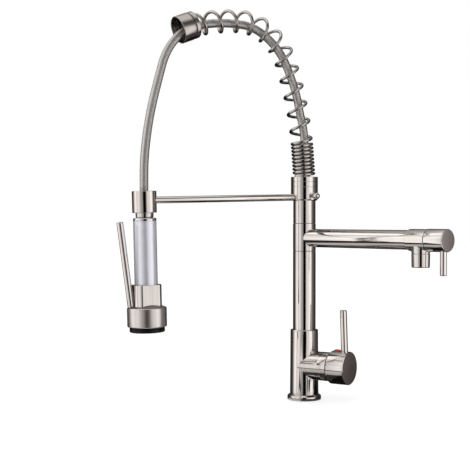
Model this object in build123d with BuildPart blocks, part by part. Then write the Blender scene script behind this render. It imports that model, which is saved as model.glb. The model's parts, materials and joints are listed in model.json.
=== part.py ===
from build123d import *
import math
import os

os.makedirs("parts", exist_ok=True)

# Fits, as radial clearances
running = 0.05
assembly = 0.1
loose = 0.4

# Column, heights above the deck
flange_radius = 20.75
flange_height = 6.5
flange_bore = 13.4
gasket_height = 1.3
base_foot_radius = 17.6
base_top_radius = 17.0
base_top = 86.0
riser_radius = 14.0
riser_wall = 1.6
upper_riser_radius = 13.75
washer_thickness = 0.5
journal_radius = 10.9
riser_top = 262.0
socket_depth = 14.0

# Deck connections
inlet_radius = 5.0
stud_radius = 4.0
connection_depth = 14.0
inlet_spacing = 7.0
inlet_setback = -3.0
stud_offset = 8.5
passage_radius = 2.2

# Mixer, distances along its axis from the column axis
mixer_height = 42.2
mixer_azimuth = -61.4
branch_radius = 17.5
branch_end = 26.5
pocket_floor = 7.0
cartridge_radius = 12.5
cartridge_end = 29.0
carrier_radius = 9.5
ring_end = 38.0
nut_radius = 15.1
tilt_centre = 23.4
stem_width = 6.0
stem_pin_radius = 1.25
cap_radius = 20.1
cap_bore = 18.3
cap_start = 38.6
cap_end = 62.8
cap_floor = 3.0
mixer_pin_radius = 4.2
mixer_pin_place = 56.4
mixer_pin_lean = 2.0
mixer_pin_top = 70.0
indicator_place = 46.0
indicator_radius = 4.6

# Pot filler, distances along its axis from the column axis
pot_height = 199.0
tee_bottom = pot_height - 16.3
tee_top = pot_height + 18.3
pot_azimuth = -75.0
pot_tube_radius = 11.1
pot_tube_bore = 9.5
pot_body_start = 162.0
pot_body_end = 186.0
pot_body_radius = 12.4
pot_cap_start = 188.2
pot_cap_end = 213.1
pot_cap_radius = 12.75
outlet_place = 176.4
outlet_radius = 10.4
outlet_groove = 14.7
outlet_drop = 30.7
pot_pin_radius = 3.8
pot_pin_place = 206.9
pot_pin_drop = 38.8

# Dock collar and its clamp screw
collar_radius = 16.6
collar_bottom = 245.0
collar_top = 274.2
clamp_height = 250.4
clamp_azimuth = -85.0
clamp_shank = 2.5
clamp_recess = 4.6
knob_radius = 4.1
knob_place = collar_radius + 7.6
rod_radius = 4.0

# Docking ring and spray head, placed along the leaning spray axis
spray_reach = 215.0
ring_height = 242.0
spray_lean = 1.4
rod_offset = 2.0
ring_radius = 14.0
ring_half = 12.4
liner_radius = 12.2
liner_bore = 10.8
neck_radius = 10.25
handle_radius = 13.3
trim_top = -18.3
handle_top = -21.8
handle_bottom = -94.4
block_width = 24.7
bell_top = -119.9
bell_bottom = -143.5
bell_radius = 22.65
face_radius = 20.2
face_bottom = -149.6

# Spray lever
lever_radius = 3.85
lever_foot_place = -19.3
lever_tip_place = -30.6
lever_tip = -22.3
lever_pivot_place = -9.8
lever_pivot = bell_top + 3.5
lever_pin_radius = 1.3
lever_arm_half = 2.2
lever_arm_end = -2.2
plunger_place = -4.4
plunger_radius = 1.6
water_place = 4.0
water_radius = 3.0

# Arch spring and the hose inside it
wire_radius = 1.85
spring_radius = 14.0
close_turns = 9
close_pitch = 4.46
open_pitch = 21.4
pitch_ramp = 0.5
open_turns = 11.6
hose_radius = 5.0
ferrule_radius = 5.6
ferrule_bottom = collar_top + 23.8
ferrule_top = ferrule_bottom + 14.0
cup_radius = 16.2
cup_length = 15.5
cup_groove = 1.6
cup_ring = 5.0

# Centreline of the arch: a start, a straight stretch and three arcs
arch_start = (-0.4, collar_top)
arch_heading = 4.4
arch_straight = 27.5
arch_arcs = ((405.9, 16.2), (68.0, 72.2), (245.4, 18.7))

# Route of the hose, chosen points in the plane of the arch
hose_inside = [
    (0.0, ferrule_top),
    (0.0, ferrule_top + 16.0),
    (-6.5, 351.5),
    (-12.0, 376.5),
    (-21.5, 400.0),
    (-33.0, 422.5),
    (-52.0, 441.0),
    (-74.5, 453.0),
    (-101.0, 454.5),
    (-127.0, 452.5),
]
hose_outside = [
    (-160.5, 445.5),
    (-187.0, 418.5),
    (-198.0, 381.0),
    (-208.5, 340.5),
    (-215.0, 296.0),
]


def direction(azimuth):
    """Unit vector in the horizontal plane."""
    return Vector(math.cos(math.radians(azimuth)), math.sin(math.radians(azimuth)), 0)


def axis_frame(height, azimuth):
    """Plane across a horizontal axis: local x is up and local z points outward."""
    return Plane(origin=(0, 0, height), x_dir=(0, 0, 1), z_dir=direction(azimuth))


def beside(frame, x, y, z=0.0):
    """The same frame with its origin at a local point."""
    return Plane(
        origin=frame.from_local_coords((x, y, z)), x_dir=frame.x_dir, z_dir=frame.z_dir
    )


def turn(frame, *outline, mode=Mode.ADD):
    """Adds a turned solid about the frame's z axis from (radius, height) points."""
    section_plane = Plane(origin=frame.origin, x_dir=frame.x_dir, z_dir=-frame.y_dir)
    with BuildSketch(section_plane) as section:
        with BuildLine():
            Polyline(*outline, close=True)
        make_face()
    revolve(section.sketch, axis=Axis(frame.origin, frame.z_dir), mode=mode)


def sleeve(frame, outer, inner, low, high, mode=Mode.ADD):
    """Adds a plain tube about the frame's z axis."""
    turn(frame, (inner, low), (outer, low), (outer, high), (inner, high), mode=mode)


def rod(frame, radius, low, high, mode=Mode.ADD):
    """Adds or cuts a cylinder about the frame's z axis."""
    with BuildSketch(frame.offset(low)) as disc:
        Circle(radius)
    extrude(disc.sketch, amount=high - low, mode=mode)


def bar(frame, width, depth, low, high, mode=Mode.ADD):
    """Adds or cuts a rectangular bar along the frame's z axis."""
    with BuildSketch(frame.offset(low)) as rectangle:
        Rectangle(width, depth)
    extrude(rectangle.sketch, amount=high - low, mode=mode)


def save(piece, name):
    """Labels a finished piece and writes it out."""
    piece.part.label = name
    export_step(piece.part, f"parts/{name}.step")


deck = Plane.XY
mixer = axis_frame(mixer_height, mixer_azimuth)
pot = axis_frame(pot_height, pot_azimuth)
clamp = axis_frame(clamp_height, clamp_azimuth)
lean = math.radians(spray_lean)
spray = Plane(
    origin=(-spray_reach, 0, ring_height),
    x_dir=(math.cos(lean), 0, math.sin(lean)),
    z_dir=(-math.sin(lean), 0, math.cos(lean)),
)

# Base flange, the disc on the deck, bevelled towards the column
with BuildPart() as base_flange:
    turn(
        deck,
        (flange_bore, gasket_height),
        (flange_radius - 1.0, gasket_height),
        (flange_radius - 1.0, 0),
        (flange_radius, 0),
        (flange_radius, flange_height - 2.0),
        (flange_radius - 0.6, flange_height - 1.4),
        (base_foot_radius + 0.3, flange_height),
        (flange_bore, flange_height),
    )
save(base_flange, "base_flange")

# Rubber gasket in the flange's recess, flush with its rim
with BuildPart() as base_gasket:
    sleeve(deck, flange_radius - 1.2, flange_bore + 0.6, 0, gasket_height)
save(base_gasket, "base_gasket")

# Base body: the column's foot with the mixer branch, its passages and its sockets
thread_start = branch_end - 8.0
chamber_floor = mixer_height + branch_radius + 1.0
with BuildPart() as base_body:
    turn(
        deck,
        (0, 0),
        (flange_bore - assembly, 0),
        (flange_bore - assembly, flange_height),
        (base_foot_radius, flange_height),
        (base_top_radius, base_top - 0.5),
        (base_top_radius - 0.5, base_top),
        (0, base_top),
    )
    rod(mixer, branch_radius, 0, branch_end)
    rod(mixer, cartridge_radius + assembly, pocket_floor, branch_end, Mode.SUBTRACT)
    rod(mixer, nut_radius + assembly, thread_start, branch_end, Mode.SUBTRACT)
    rod(deck, riser_radius - 4.0, chamber_floor, base_top, Mode.SUBTRACT)
    rod(deck, passage_radius, mixer_height + inlet_spacing, chamber_floor, Mode.SUBTRACT)
    rod(beside(mixer, inlet_spacing, 0), passage_radius, 0, pocket_floor, Mode.SUBTRACT)
    rod(deck, riser_radius - 1.5, base_top - socket_depth, base_top, Mode.SUBTRACT)
    for side in (-inlet_spacing, inlet_spacing):
        place = mixer.from_local_coords((0, side, inlet_setback))
        inlet = Plane(origin=(place.X, place.Y, 0))
        rod(inlet, inlet_radius, 0, connection_depth, Mode.SUBTRACT)
        rod(inlet, passage_radius, connection_depth, mixer_height, Mode.SUBTRACT)
        rod(beside(mixer, 0, side), passage_radius, inlet_setback, pocket_floor, Mode.SUBTRACT)
    place = mixer.from_local_coords((0, 0, stud_offset))
    stud = Plane(origin=(place.X, place.Y, 0))
    rod(stud, stud_radius, 0, connection_depth, Mode.SUBTRACT)
save(base_body, "base_body")

# Mixing cartridge: a cup with two inlet ports and one outlet port in its floor
carrier_floor = pocket_floor + 5.0
with BuildPart() as mixing_cartridge:
    rod(mixer, cartridge_radius, pocket_floor, cartridge_end)
    rod(mixer, carrier_radius, carrier_floor, cartridge_end, Mode.SUBTRACT)
    for side in (-inlet_spacing, inlet_spacing):
        rod(beside(mixer, 0, side), passage_radius, pocket_floor, carrier_floor, Mode.SUBTRACT)
    rod(beside(mixer, inlet_spacing, 0), passage_radius, pocket_floor, carrier_floor, Mode.SUBTRACT)
save(mixing_cartridge, "mixing_cartridge")

# Housing ring: screws into the branch, leaves a bevelled seam and guides the cartridge
with BuildPart() as housing_ring:
    turn(
        mixer,
        (cartridge_radius + assembly, thread_start + 0.3),
        (nut_radius, thread_start + 0.3),
        (nut_radius, branch_end),
        (branch_radius - 1.2, branch_end),
        (branch_radius - 1.2, branch_end + 0.9),
        (branch_radius + 0.1, branch_end + 2.0),
        (branch_radius + 0.1, ring_end - 0.6),
        (branch_radius - 0.5, ring_end),
        (nut_radius, ring_end),
        (nut_radius, cartridge_end + 1.0),
        (cartridge_radius + assembly, cartridge_end + 1.0),
    )
save(housing_ring, "housing_ring")

# Cartridge nut: brass ring with six spanner slots that holds the cartridge down
with BuildPart() as cartridge_nut:
    sleeve(mixer, nut_radius - assembly, carrier_radius + 0.5, cartridge_end + 1.0, ring_end - 0.4)
    for k in range(6):
        notch = mixer.rotated((0, 0, 60 * k))
        bar(beside(notch, nut_radius, 0), 3.0, 3.0, ring_end - 2.4, ring_end, Mode.SUBTRACT)
save(cartridge_nut, "cartridge_nut")

# Cartridge carrier: turns in the cartridge and forks round the stem
fork_end = cartridge_end + 4.0
with BuildPart() as cartridge_carrier:
    rod(mixer, carrier_radius - running, carrier_floor + 0.3, fork_end)
    bar(
        mixer, 2 * carrier_radius, stem_width + 0.4, carrier_floor + 3.3, fork_end, Mode.SUBTRACT
    )
    stem_pivot = Plane(
        origin=mixer.from_local_coords((0, 0, tilt_centre)), x_dir=mixer.x_dir, z_dir=mixer.y_dir
    )
    rod(stem_pivot, stem_pin_radius, -carrier_radius, carrier_radius, Mode.SUBTRACT)
save(cartridge_carrier, "cartridge_carrier")

# Stem pin across the fork
with BuildPart() as stem_pin:
    rod(stem_pivot, stem_pin_radius, -carrier_radius + 1.5, carrier_radius - 1.5)
save(stem_pin, "stem_pin")

# Cartridge stem: the square lever that the cap sits on
stem_start = carrier_floor + 5.4
stem_end = cap_start + 12.6
with BuildPart() as cartridge_stem:
    bar(mixer, stem_width, stem_width, stem_start, stem_end)
    rod(stem_pivot, stem_pin_radius + running, -stem_width, stem_width, Mode.SUBTRACT)
save(cartridge_stem, "cartridge_stem")

# Mixer cap: a cup over the housing ring, with a hub on the stem and a web for the pin
hub_start = stem_end - 5.2
hub_radius = 6.4
pin_frame = Plane(
    origin=mixer.from_local_coords((0, 0, mixer_pin_place)),
    x_dir=mixer.y_dir,
    z_dir=mixer.x_dir * math.cos(math.radians(mixer_pin_lean))
    - mixer.z_dir * math.sin(math.radians(mixer_pin_lean)),
)
pin_seat = cap_radius - 1.2
pin_spigot = 3.0
pin_foot = 11.0
screw_radius = 2.0
screw_frame = Plane(
    origin=mixer.from_local_coords((0, 0, stem_end - 2.6)), x_dir=mixer.y_dir, z_dir=-mixer.x_dir
)
button_foot = cap_radius - 1.3
button = Plane(
    origin=mixer.from_local_coords((0, 0, indicator_place)), x_dir=mixer.z_dir, z_dir=mixer.x_dir
)
with BuildPart() as mixer_cap:
    turn(
        mixer,
        (0, cap_end - cap_floor),
        (cap_bore, cap_end - cap_floor),
        (cap_bore, cap_start),
        (cap_radius - 0.4, cap_start),
        (cap_radius, cap_start + 0.4),
        (cap_radius, cap_end - 0.7),
        (cap_radius - 0.7, cap_end),
        (0, cap_end),
    )
    rod(mixer, hub_radius, hub_start, cap_end - cap_floor)
    rod(pin_frame, hub_radius, 0, cap_bore + 0.2)
    bar(mixer, stem_width, stem_width, hub_start, stem_end, Mode.SUBTRACT)
    rod(pin_frame, mixer_pin_radius, pin_seat, cap_radius + 1.0, Mode.SUBTRACT)
    rod(pin_frame, pin_spigot, pin_foot, pin_seat, Mode.SUBTRACT)
    rod(screw_frame, screw_radius, stem_width / 2, cap_radius, Mode.SUBTRACT)
    rod(button, indicator_radius, button_foot, cap_radius + 2.0, Mode.SUBTRACT)
save(mixer_cap, "mixer_cap")

# Set screw that pins the cap's hub to the stem
with BuildPart() as cap_screw:
    rod(screw_frame, screw_radius, stem_width / 2, hub_radius + 1.5)
save(cap_screw, "cap_screw")

# Mixer pin: the straight lever on top of the cap
with BuildPart() as mixer_pin:
    turn(
        pin_frame,
        (0, pin_foot),
        (pin_spigot, pin_foot),
        (pin_spigot, pin_seat),
        (mixer_pin_radius, pin_seat),
        (mixer_pin_radius, mixer_pin_top - 0.9),
        (mixer_pin_radius - 0.9, mixer_pin_top),
        (0, mixer_pin_top),
    )
save(mixer_pin, "mixer_pin")

# Temperature indicator: a round button on the cap in a cold and a hot half
button_rim = cap_radius + 0.5
button_crown = cap_radius + 1.9
for name, side in (("indicator_cold", -1), ("indicator_hot", 1)):
    with BuildPart() as indicator_half:
        turn(
            button,
            (0, button_foot),
            (indicator_radius, button_foot),
            (indicator_radius, button_rim),
            (indicator_radius * 0.75, button_rim + 0.9),
            (indicator_radius * 0.4, button_crown - 0.1),
            (0, button_crown),
        )
        keep_out = beside(button, -side * indicator_radius, 0)
        bar(
            keep_out, 2 * indicator_radius, 3 * indicator_radius, 0, cap_radius + 5, Mode.SUBTRACT
        )
    save(indicator_half, name)

# Lower riser tube with the spigot that fills the base's socket
riser_bore = riser_radius - riser_wall
spindle_foot = tee_bottom - 14.0
with BuildPart() as lower_riser:
    turn(
        deck,
        (riser_bore - 0.6, base_top - socket_depth),
        (riser_radius - 1.6, base_top - socket_depth),
        (riser_radius - 1.6, base_top),
        (riser_radius, base_top),
        (riser_radius, tee_bottom),
        (riser_bore, tee_bottom),
        (riser_bore, spindle_foot),
        (riser_bore - 0.6, spindle_foot),
    )
save(lower_riser, "lower_riser")

# Swivel spindle: the inner column that the tee turns on
spindle_bore = 8.0
spindle_top = tee_top + 14.0
seal_height = 2.4
seal_depth = 1.6
seal_places = (tee_bottom + 5.5, tee_top - 5.5)
with BuildPart() as swivel_spindle:
    sleeve(deck, riser_bore, spindle_bore, spindle_foot, tee_bottom)
    sleeve(deck, journal_radius, spindle_bore, tee_bottom, spindle_top)
    for height in seal_places:
        sleeve(
            deck,
            journal_radius + 1.0,
            journal_radius - seal_depth,
            height - seal_height / 2,
            height + seal_height / 2,
            Mode.SUBTRACT,
        )
    for azimuth in (0, 90):
        rod(axis_frame(pot_height, azimuth), 3.0, -journal_radius - 1, journal_radius + 1, Mode.SUBTRACT)
save(swivel_spindle, "swivel_spindle")

# Two rubber seals in the spindle's grooves
with BuildPart() as swivel_seals:
    for height in seal_places:
        turn(
            deck,
            (journal_radius - seal_depth, height - 0.9),
            (journal_radius - 0.6, height - 0.9),
            (journal_radius, height - 0.4),
            (journal_radius, height + 0.4),
            (journal_radius - 0.6, height + 0.9),
            (journal_radius - seal_depth, height + 0.9),
        )
save(swivel_seals, "swivel_seals")

# Two dark washers in the grooves above and below the tee
with BuildPart() as swivel_washers:
    for height in (tee_bottom, tee_top - washer_thickness):
        sleeve(
            deck, upper_riser_radius - 0.5, journal_radius, height, height + washer_thickness
        )
save(swivel_washers, "swivel_washers")

# Upper riser tube between the tee and the dock collar
upper_bore = upper_riser_radius - riser_wall
with BuildPart() as upper_riser:
    turn(
        deck,
        (journal_radius, tee_top),
        (upper_riser_radius, tee_top),
        (upper_riser_radius, riser_top),
        (upper_bore, riser_top),
        (upper_bore, spindle_top),
        (journal_radius, spindle_top),
    )
save(upper_riser, "upper_riser")

# Swivel tee: the sleeve flush with the column that carries the pot filler
tee_gap = 0.1
tee_bore = journal_radius + running
spigot_end = riser_radius + 10.0
water_way = 5.0
with BuildPart() as swivel_tee:
    rod(deck, riser_radius, tee_bottom + washer_thickness + tee_gap, tee_top - washer_thickness - tee_gap)
    rod(pot, pot_tube_bore - assembly, 0, spigot_end)
    rod(deck, tee_bore, tee_bottom, tee_top, Mode.SUBTRACT)
    rod(pot, water_way, 0, spigot_end, Mode.SUBTRACT)
save(swivel_tee, "swivel_tee")

# Pot filler tube, coped onto the tee
tube_end = pot_body_start + 6.0
with BuildPart() as pot_tube:
    sleeve(pot, pot_tube_radius, pot_tube_bore, riser_radius - 6.0, tube_end)
    rod(deck, riser_radius, tee_bottom, tee_top, Mode.SUBTRACT)
save(pot_tube, "pot_tube")

# Pot filler valve body: sleeve over the tube end, seat for the headwork, outlet boss
headwork_radius = 8.9
outlet_frame = Plane(origin=pot.from_local_coords((0, 0, outlet_place)), z_dir=(0, 0, 1))
boss_foot = -outlet_groove
boss_bore = 7.5
with BuildPart() as pot_valve_body:
    turn(
        pot,
        (0, pot_body_start),
        (pot_body_radius - 0.5, pot_body_start),
        (pot_body_radius, pot_body_start + 0.5),
        (pot_body_radius, pot_body_end),
        (0, pot_body_end),
    )
    rod(outlet_frame, outlet_radius, boss_foot, 0)
    rod(pot, pot_cap_radius + loose, pot_body_end, pot_cap_start, Mode.SUBTRACT)
    rod(pot, pot_tube_radius, pot_body_start, tube_end, Mode.SUBTRACT)
    rod(pot, headwork_radius, tube_end, pot_body_end, Mode.SUBTRACT)
    rod(outlet_frame, boss_bore, boss_foot, 0, Mode.SUBTRACT)
save(pot_valve_body, "pot_valve_body")

# Ceramic headwork with a bore for the stem and two side ports
pot_stem_radius = 4.0
headwork_floor = tube_end + 4.0
with BuildPart() as pot_headwork:
    rod(pot, headwork_radius - assembly, tube_end + 0.5, pot_body_end)
    rod(pot, headwork_radius + 1.5, pot_body_end, pot_cap_start - 1.0)
    rod(pot, pot_stem_radius + running, headwork_floor, pot_cap_start, Mode.SUBTRACT)
    port = Plane(
        origin=pot.from_local_coords((0, 0, outlet_place)), x_dir=pot.z_dir, z_dir=(0, 0, 1)
    )
    rod(port, 2.5, -headwork_radius, 0, Mode.SUBTRACT)
save(pot_headwork, "pot_headwork")

# Thin trim ring at the seam between the valve body and the cap
with BuildPart() as pot_trim_ring:
    sleeve(pot, pot_body_radius + 0.3, headwork_radius + 1.6, pot_body_end, pot_cap_start - 0.6)
save(pot_trim_ring, "pot_trim_ring")

# Stem of the pot filler's valve
pot_stem_end = pot_cap_end - 6.0
with BuildPart() as pot_stem:
    rod(pot, pot_stem_radius, headwork_floor + 0.3, pot_stem_end)
save(pot_stem, "pot_stem")

# Pot filler cap with a hub on the stem
pot_pin_spigot = 2.5
pot_pin_frame = Plane(origin=pot.from_local_coords((0, 0, pot_pin_place)), z_dir=(0, 0, -1))
pot_pin_seat = pot_cap_radius - 0.8
pot_pin_end = pot_pin_drop
pot_pin_foot = 6.5
with BuildPart() as pot_cap:
    turn(
        pot,
        (0, pot_cap_start + 3.0),
        (pot_cap_radius - 1.6, pot_cap_start + 3.0),
        (pot_cap_radius - 1.6, pot_cap_start),
        (pot_cap_radius - 0.3, pot_cap_start),
        (pot_cap_radius, pot_cap_start + 0.3),
        (pot_cap_radius, pot_cap_end - 0.7),
        (pot_cap_radius - 0.7, pot_cap_end),
        (0, pot_cap_end),
    )
    rod(pot, pot_stem_radius, pot_cap_start, pot_stem_end, Mode.SUBTRACT)
    rod(pot_pin_frame, pot_pin_radius, pot_pin_seat, pot_cap_radius + 1, Mode.SUBTRACT)
    rod(pot_pin_frame, pot_pin_spigot, pot_pin_foot, pot_pin_seat, Mode.SUBTRACT)
save(pot_cap, "pot_cap")

# Pot filler pin, the short lever that hangs below the cap
with BuildPart() as pot_pin:
    turn(
        pot_pin_frame,
        (0, pot_pin_foot),
        (pot_pin_spigot, pot_pin_foot),
        (pot_pin_spigot, pot_pin_seat),
        (pot_pin_radius, pot_pin_seat),
        (pot_pin_radius, pot_pin_end - 0.8),
        (pot_pin_radius - 0.8, pot_pin_end),
        (0, pot_pin_end),
    )
save(pot_pin, "pot_pin")

# Aerator housing below the outlet boss
outlet_end = -outlet_drop
with BuildPart() as aerator_housing:
    turn(
        outlet_frame,
        (boss_bore + 1.0, outlet_end),
        (outlet_radius - 0.9, outlet_end),
        (outlet_radius - 0.3, outlet_end + 0.8),
        (outlet_radius, boss_foot - 0.9),
        (outlet_radius - 0.7, boss_foot - 0.5),
        (outlet_radius - 0.7, boss_foot),
        (boss_bore, boss_foot),
        (boss_bore, boss_foot - 3.0),
        (boss_bore + 1.0, boss_foot - 3.0),
    )
save(aerator_housing, "aerator_housing")

# Aerator insert, a grid of round holes
aerator_top = outlet_end + 8.0
with BuildPart() as aerator_insert:
    rod(outlet_frame, boss_bore + 1.0 - assembly, outlet_end + 1.0, aerator_top)
    with BuildSketch(outlet_frame.offset(outlet_end + 1.0)) as grid:
        with GridLocations(3.0, 3.0, 5, 5):
            Circle(0.9)
        with BuildSketch(mode=Mode.INTERSECT):
            Circle(boss_bore - 0.6)
    extrude(grid.sketch, amount=aerator_top - outlet_end - 1.0, mode=Mode.SUBTRACT)
save(aerator_insert, "aerator_insert")

# Dock collar: turns on the upper riser and carries the docking rod and the spring
collar_floor = riser_top + 0.4
adapter_radius = 9.0
rod_frame = Plane(
    origin=spray.from_local_coords((0, 0, rod_offset)), x_dir=spray.z_dir, z_dir=spray.x_dir
)
rod_seat = spray_reach - collar_radius + 2.2
with BuildPart() as dock_collar:
    turn(
        deck,
        (0, collar_bottom),
        (collar_radius - 1.8, collar_bottom),
        (collar_radius, collar_bottom + 1.8),
        (collar_radius, collar_top - 0.5),
        (collar_radius - 0.5, collar_top),
        (0, collar_top),
    )
    for height in (collar_top - 6.0, collar_top - 12.4):
        turn(
            deck,
            (collar_radius - 0.25, height),
            (collar_radius + 0.1, height - 0.35),
            (collar_radius + 0.1, height + 0.35),
            mode=Mode.SUBTRACT,
        )
    rod(deck, upper_riser_radius + running, collar_bottom, collar_floor, Mode.SUBTRACT)
    rod(deck, adapter_radius, collar_floor, collar_top, Mode.SUBTRACT)
    rod(rod_frame, rod_radius, rod_seat - 4.0, rod_seat, Mode.SUBTRACT)
    rod(rod_frame, rod_radius + 0.4, rod_seat - 4.0, rod_seat - 1.2, Mode.SUBTRACT)
    rod(clamp, clamp_shank, upper_riser_radius, collar_radius + 1, Mode.SUBTRACT)
    rod(clamp, clamp_recess, collar_radius - 1.9, collar_radius + 1, Mode.SUBTRACT)
save(dock_collar, "dock_collar")

# Clamp screw with a round knob
with BuildPart() as clamp_screw:
    turn(
        clamp,
        (0, upper_riser_radius + 0.15),
        (clamp_shank - running, upper_riser_radius + 0.15),
        (clamp_shank - running, collar_radius),
        (clamp_shank + 0.3, collar_radius),
        (clamp_shank + 0.3, knob_place),
        (0, knob_place),
    )
    with Locations(clamp.from_local_coords((0, 0, knob_place))):
        Sphere(knob_radius)
save(clamp_screw, "clamp_screw")

# Docking rod between the collar and the docking ring
with BuildPart() as dock_rod:
    rod(rod_frame, rod_radius, liner_radius + 0.6, rod_seat)
save(dock_rod, "dock_rod")

# Docking ring
with BuildPart() as dock_ring:
    turn(
        spray,
        (liner_radius, -ring_half),
        (ring_radius - 0.4, -ring_half),
        (ring_radius, -ring_half + 0.4),
        (ring_radius, ring_half - 0.4),
        (ring_radius - 0.4, ring_half),
        (liner_radius, ring_half),
    )
    rod(rod_frame, rod_radius, liner_radius + 0.6, ring_radius + 1, Mode.SUBTRACT)
save(dock_ring, "dock_ring")

# Plastic liner of the docking ring
with BuildPart() as dock_liner:
    sleeve(spray, liner_radius, liner_bore, -ring_half + 0.3, ring_half - 0.3)
save(dock_liner, "dock_liner")

# Hose nut inside the docking ring, on the end of the hose
nut_low = -6.0
nut_high = 2.0
hose_nut_radius = 8.0
with BuildPart() as hose_nut:
    rod(spray, hose_nut_radius, nut_low, nut_high)
    rod(spray, 4.0 + running, nut_low, nut_high - 3.0, Mode.SUBTRACT)
save(hose_nut, "hose_nut")

# Spray neck: the round plug that docks in the ring, hollow for the water
neck_plug = -9.5
with BuildPart() as spray_neck:
    turn(
        spray,
        (2.5, trim_top),
        (neck_radius - 1.0, trim_top),
        (neck_radius, trim_top + 1.2),
        (neck_radius, neck_plug - 1.0),
        (neck_radius - 1.0, neck_plug),
        (4.0, neck_plug),
        (4.0, nut_high - 3.5),
        (2.5, nut_high - 3.5),
    )
save(spray_neck, "spray_neck")

# Bright trim ring on top of the handle
with BuildPart() as handle_trim:
    turn(
        spray,
        (7.0, handle_top),
        (handle_radius, handle_top),
        (handle_radius, handle_top + 2.4),
        (handle_radius - 0.9, trim_top),
        (7.0, trim_top),
    )
save(handle_trim, "handle_trim")

# Water tube down the middle of the handle
water_tube_radius = 7.0
with BuildPart() as water_tube:
    sleeve(spray, water_tube_radius, 5.5, handle_bottom, trim_top)
save(water_tube, "water_tube")

# Matte handle sleeve
with BuildPart() as spray_handle:
    sleeve(spray, handle_radius, handle_radius - 2.0, handle_bottom, handle_top)
save(spray_handle, "spray_handle")

# Square valve block of the spray, slotted for the lever's foot
slot_width = 6.4
slot_floor = lever_arm_end + 0.6
slot_top = lever_pivot + lever_arm_half + 1.5
bore_step = handle_bottom - 3.6
lever_pivot_frame = Plane(
    origin=spray.from_local_coords((lever_pivot_place, 0, lever_pivot)),
    x_dir=spray.z_dir,
    z_dir=spray.y_dir,
)
with BuildPart() as valve_block:
    bar(spray, block_width, block_width, bell_top, handle_bottom)
    with BuildSketch(spray.offset(bell_top)) as slot:
        with Locations((slot_floor - block_width / 2, 0)):
            Rectangle(block_width, slot_width)
    extrude(slot.sketch, amount=slot_top - bell_top, mode=Mode.SUBTRACT)
    rod(spray, 5.5, bore_step, handle_bottom, Mode.SUBTRACT)
    rod(beside(spray, water_place, 0), water_radius, bell_top, bore_step, Mode.SUBTRACT)
    rod(lever_pivot_frame, lever_pin_radius, -slot_width, slot_width, Mode.SUBTRACT)
save(valve_block, "valve_block")

# Pin that the spray lever turns on
with BuildPart() as lever_pin:
    rod(lever_pivot_frame, lever_pin_radius, -slot_width, slot_width)
save(lever_pin, "lever_pin")

# Bell of the spray
bell_wall = 2.0
bell_roof = 3.0
with BuildPart() as spray_bell:
    turn(
        spray,
        (0, bell_top - bell_roof),
        (bell_radius - bell_wall, bell_top - bell_roof),
        (bell_radius - bell_wall, bell_bottom),
        (bell_radius - 0.7, bell_bottom),
        (bell_radius, bell_bottom + 0.8),
        (bell_radius, bell_top - 0.6),
        (bell_radius - 0.6, bell_top),
        (0, bell_top),
    )
    rod(beside(spray, water_place, 0), water_radius, bell_top - bell_roof, bell_top, Mode.SUBTRACT)
    rod(beside(spray, plunger_place, 0), plunger_radius, bell_top - bell_roof, bell_top, Mode.SUBTRACT)
save(spray_bell, "spray_bell")

# Plunger under the lever's arm, which pushes it down through the bell's roof
plunger_top = lever_pivot - lever_arm_half - assembly
with BuildPart() as valve_plunger:
    turn(
        beside(spray, plunger_place, 0),
        (0, bell_top - bell_roof - 4.0),
        (plunger_radius - running, bell_top - bell_roof - 4.0),
        (plunger_radius - running, plunger_top - 0.5),
        (0.4, plunger_top),
        (0, plunger_top),
    )
save(valve_plunger, "valve_plunger")

# Rubber spray face that fills the bell's mouth
nozzle_rings = (6.0, 11.0, 16.0)
nozzles_per_ring = 6
with BuildPart() as spray_face:
    turn(
        spray,
        (0, bell_bottom + 6.0),
        (bell_radius - bell_wall, bell_bottom + 6.0),
        (bell_radius - bell_wall, bell_bottom),
        (face_radius, bell_bottom),
        (face_radius, face_bottom + 0.8),
        (face_radius - 0.8, face_bottom),
        (face_radius - 1.8, face_bottom),
        (face_radius - 1.8, face_bottom + 1.2),
        (0, face_bottom + 1.2),
    )
    for index, ring in enumerate(nozzle_rings, 1):
        with BuildSketch(spray.offset(face_bottom + 1.2)) as holes:
            with PolarLocations(ring, nozzles_per_ring * index):
                Circle(0.7)
        extrude(holes.sketch, amount=8.0, mode=Mode.SUBTRACT)
save(spray_face, "spray_face")

# Spray lever, a plain rod that leans away from the handle
lever_foot = bell_top + 0.7
lever_run = Vector(lever_tip_place - lever_foot_place, 0, lever_tip - lever_foot)
lever_origin = spray.from_local_coords((lever_foot_place, 0, lever_foot))
lever_up = (
    spray.x_dir * lever_run.normalized().X + spray.z_dir * lever_run.normalized().Z
)
lever_frame = Plane(origin=lever_origin, x_dir=spray.y_dir, z_dir=lever_up)
with BuildPart() as spray_lever:
    turn(
        lever_frame,
        (0, 0),
        (lever_radius - 0.4, 0),
        (lever_radius, 0.4),
        (lever_radius, lever_run.length - 0.7),
        (lever_radius - 0.7, lever_run.length),
        (0, lever_run.length),
    )
save(spray_lever, "spray_lever")

# Lever foot: the arm that joins the rod to its pin and bears on the plunger
foot_width = slot_width - 1.0
with BuildPart() as lever_foot_plate:
    with BuildSketch(
        Plane(origin=spray.origin - spray.y_dir * foot_width / 2, x_dir=spray.x_dir, z_dir=-spray.y_dir)
    ) as plate:
        with BuildLine():
            Polyline(
                (lever_foot_place, lever_pivot - lever_arm_half),
                (lever_arm_end, lever_pivot - lever_arm_half),
                (lever_arm_end, lever_pivot + lever_arm_half - 1.0),
                (lever_arm_end - 1.0, lever_pivot + lever_arm_half),
                (lever_foot_place - 0.6, lever_pivot + lever_arm_half),
                close=True,
            )
        make_face()
    extrude(plate.sketch, amount=-foot_width)
    rod(lever_frame, lever_radius, -1, lever_run.length, Mode.SUBTRACT)
    rod(lever_pivot_frame, lever_pin_radius + running, -slot_width, slot_width, Mode.SUBTRACT)
save(lever_foot_plate, "lever_foot")

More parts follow.
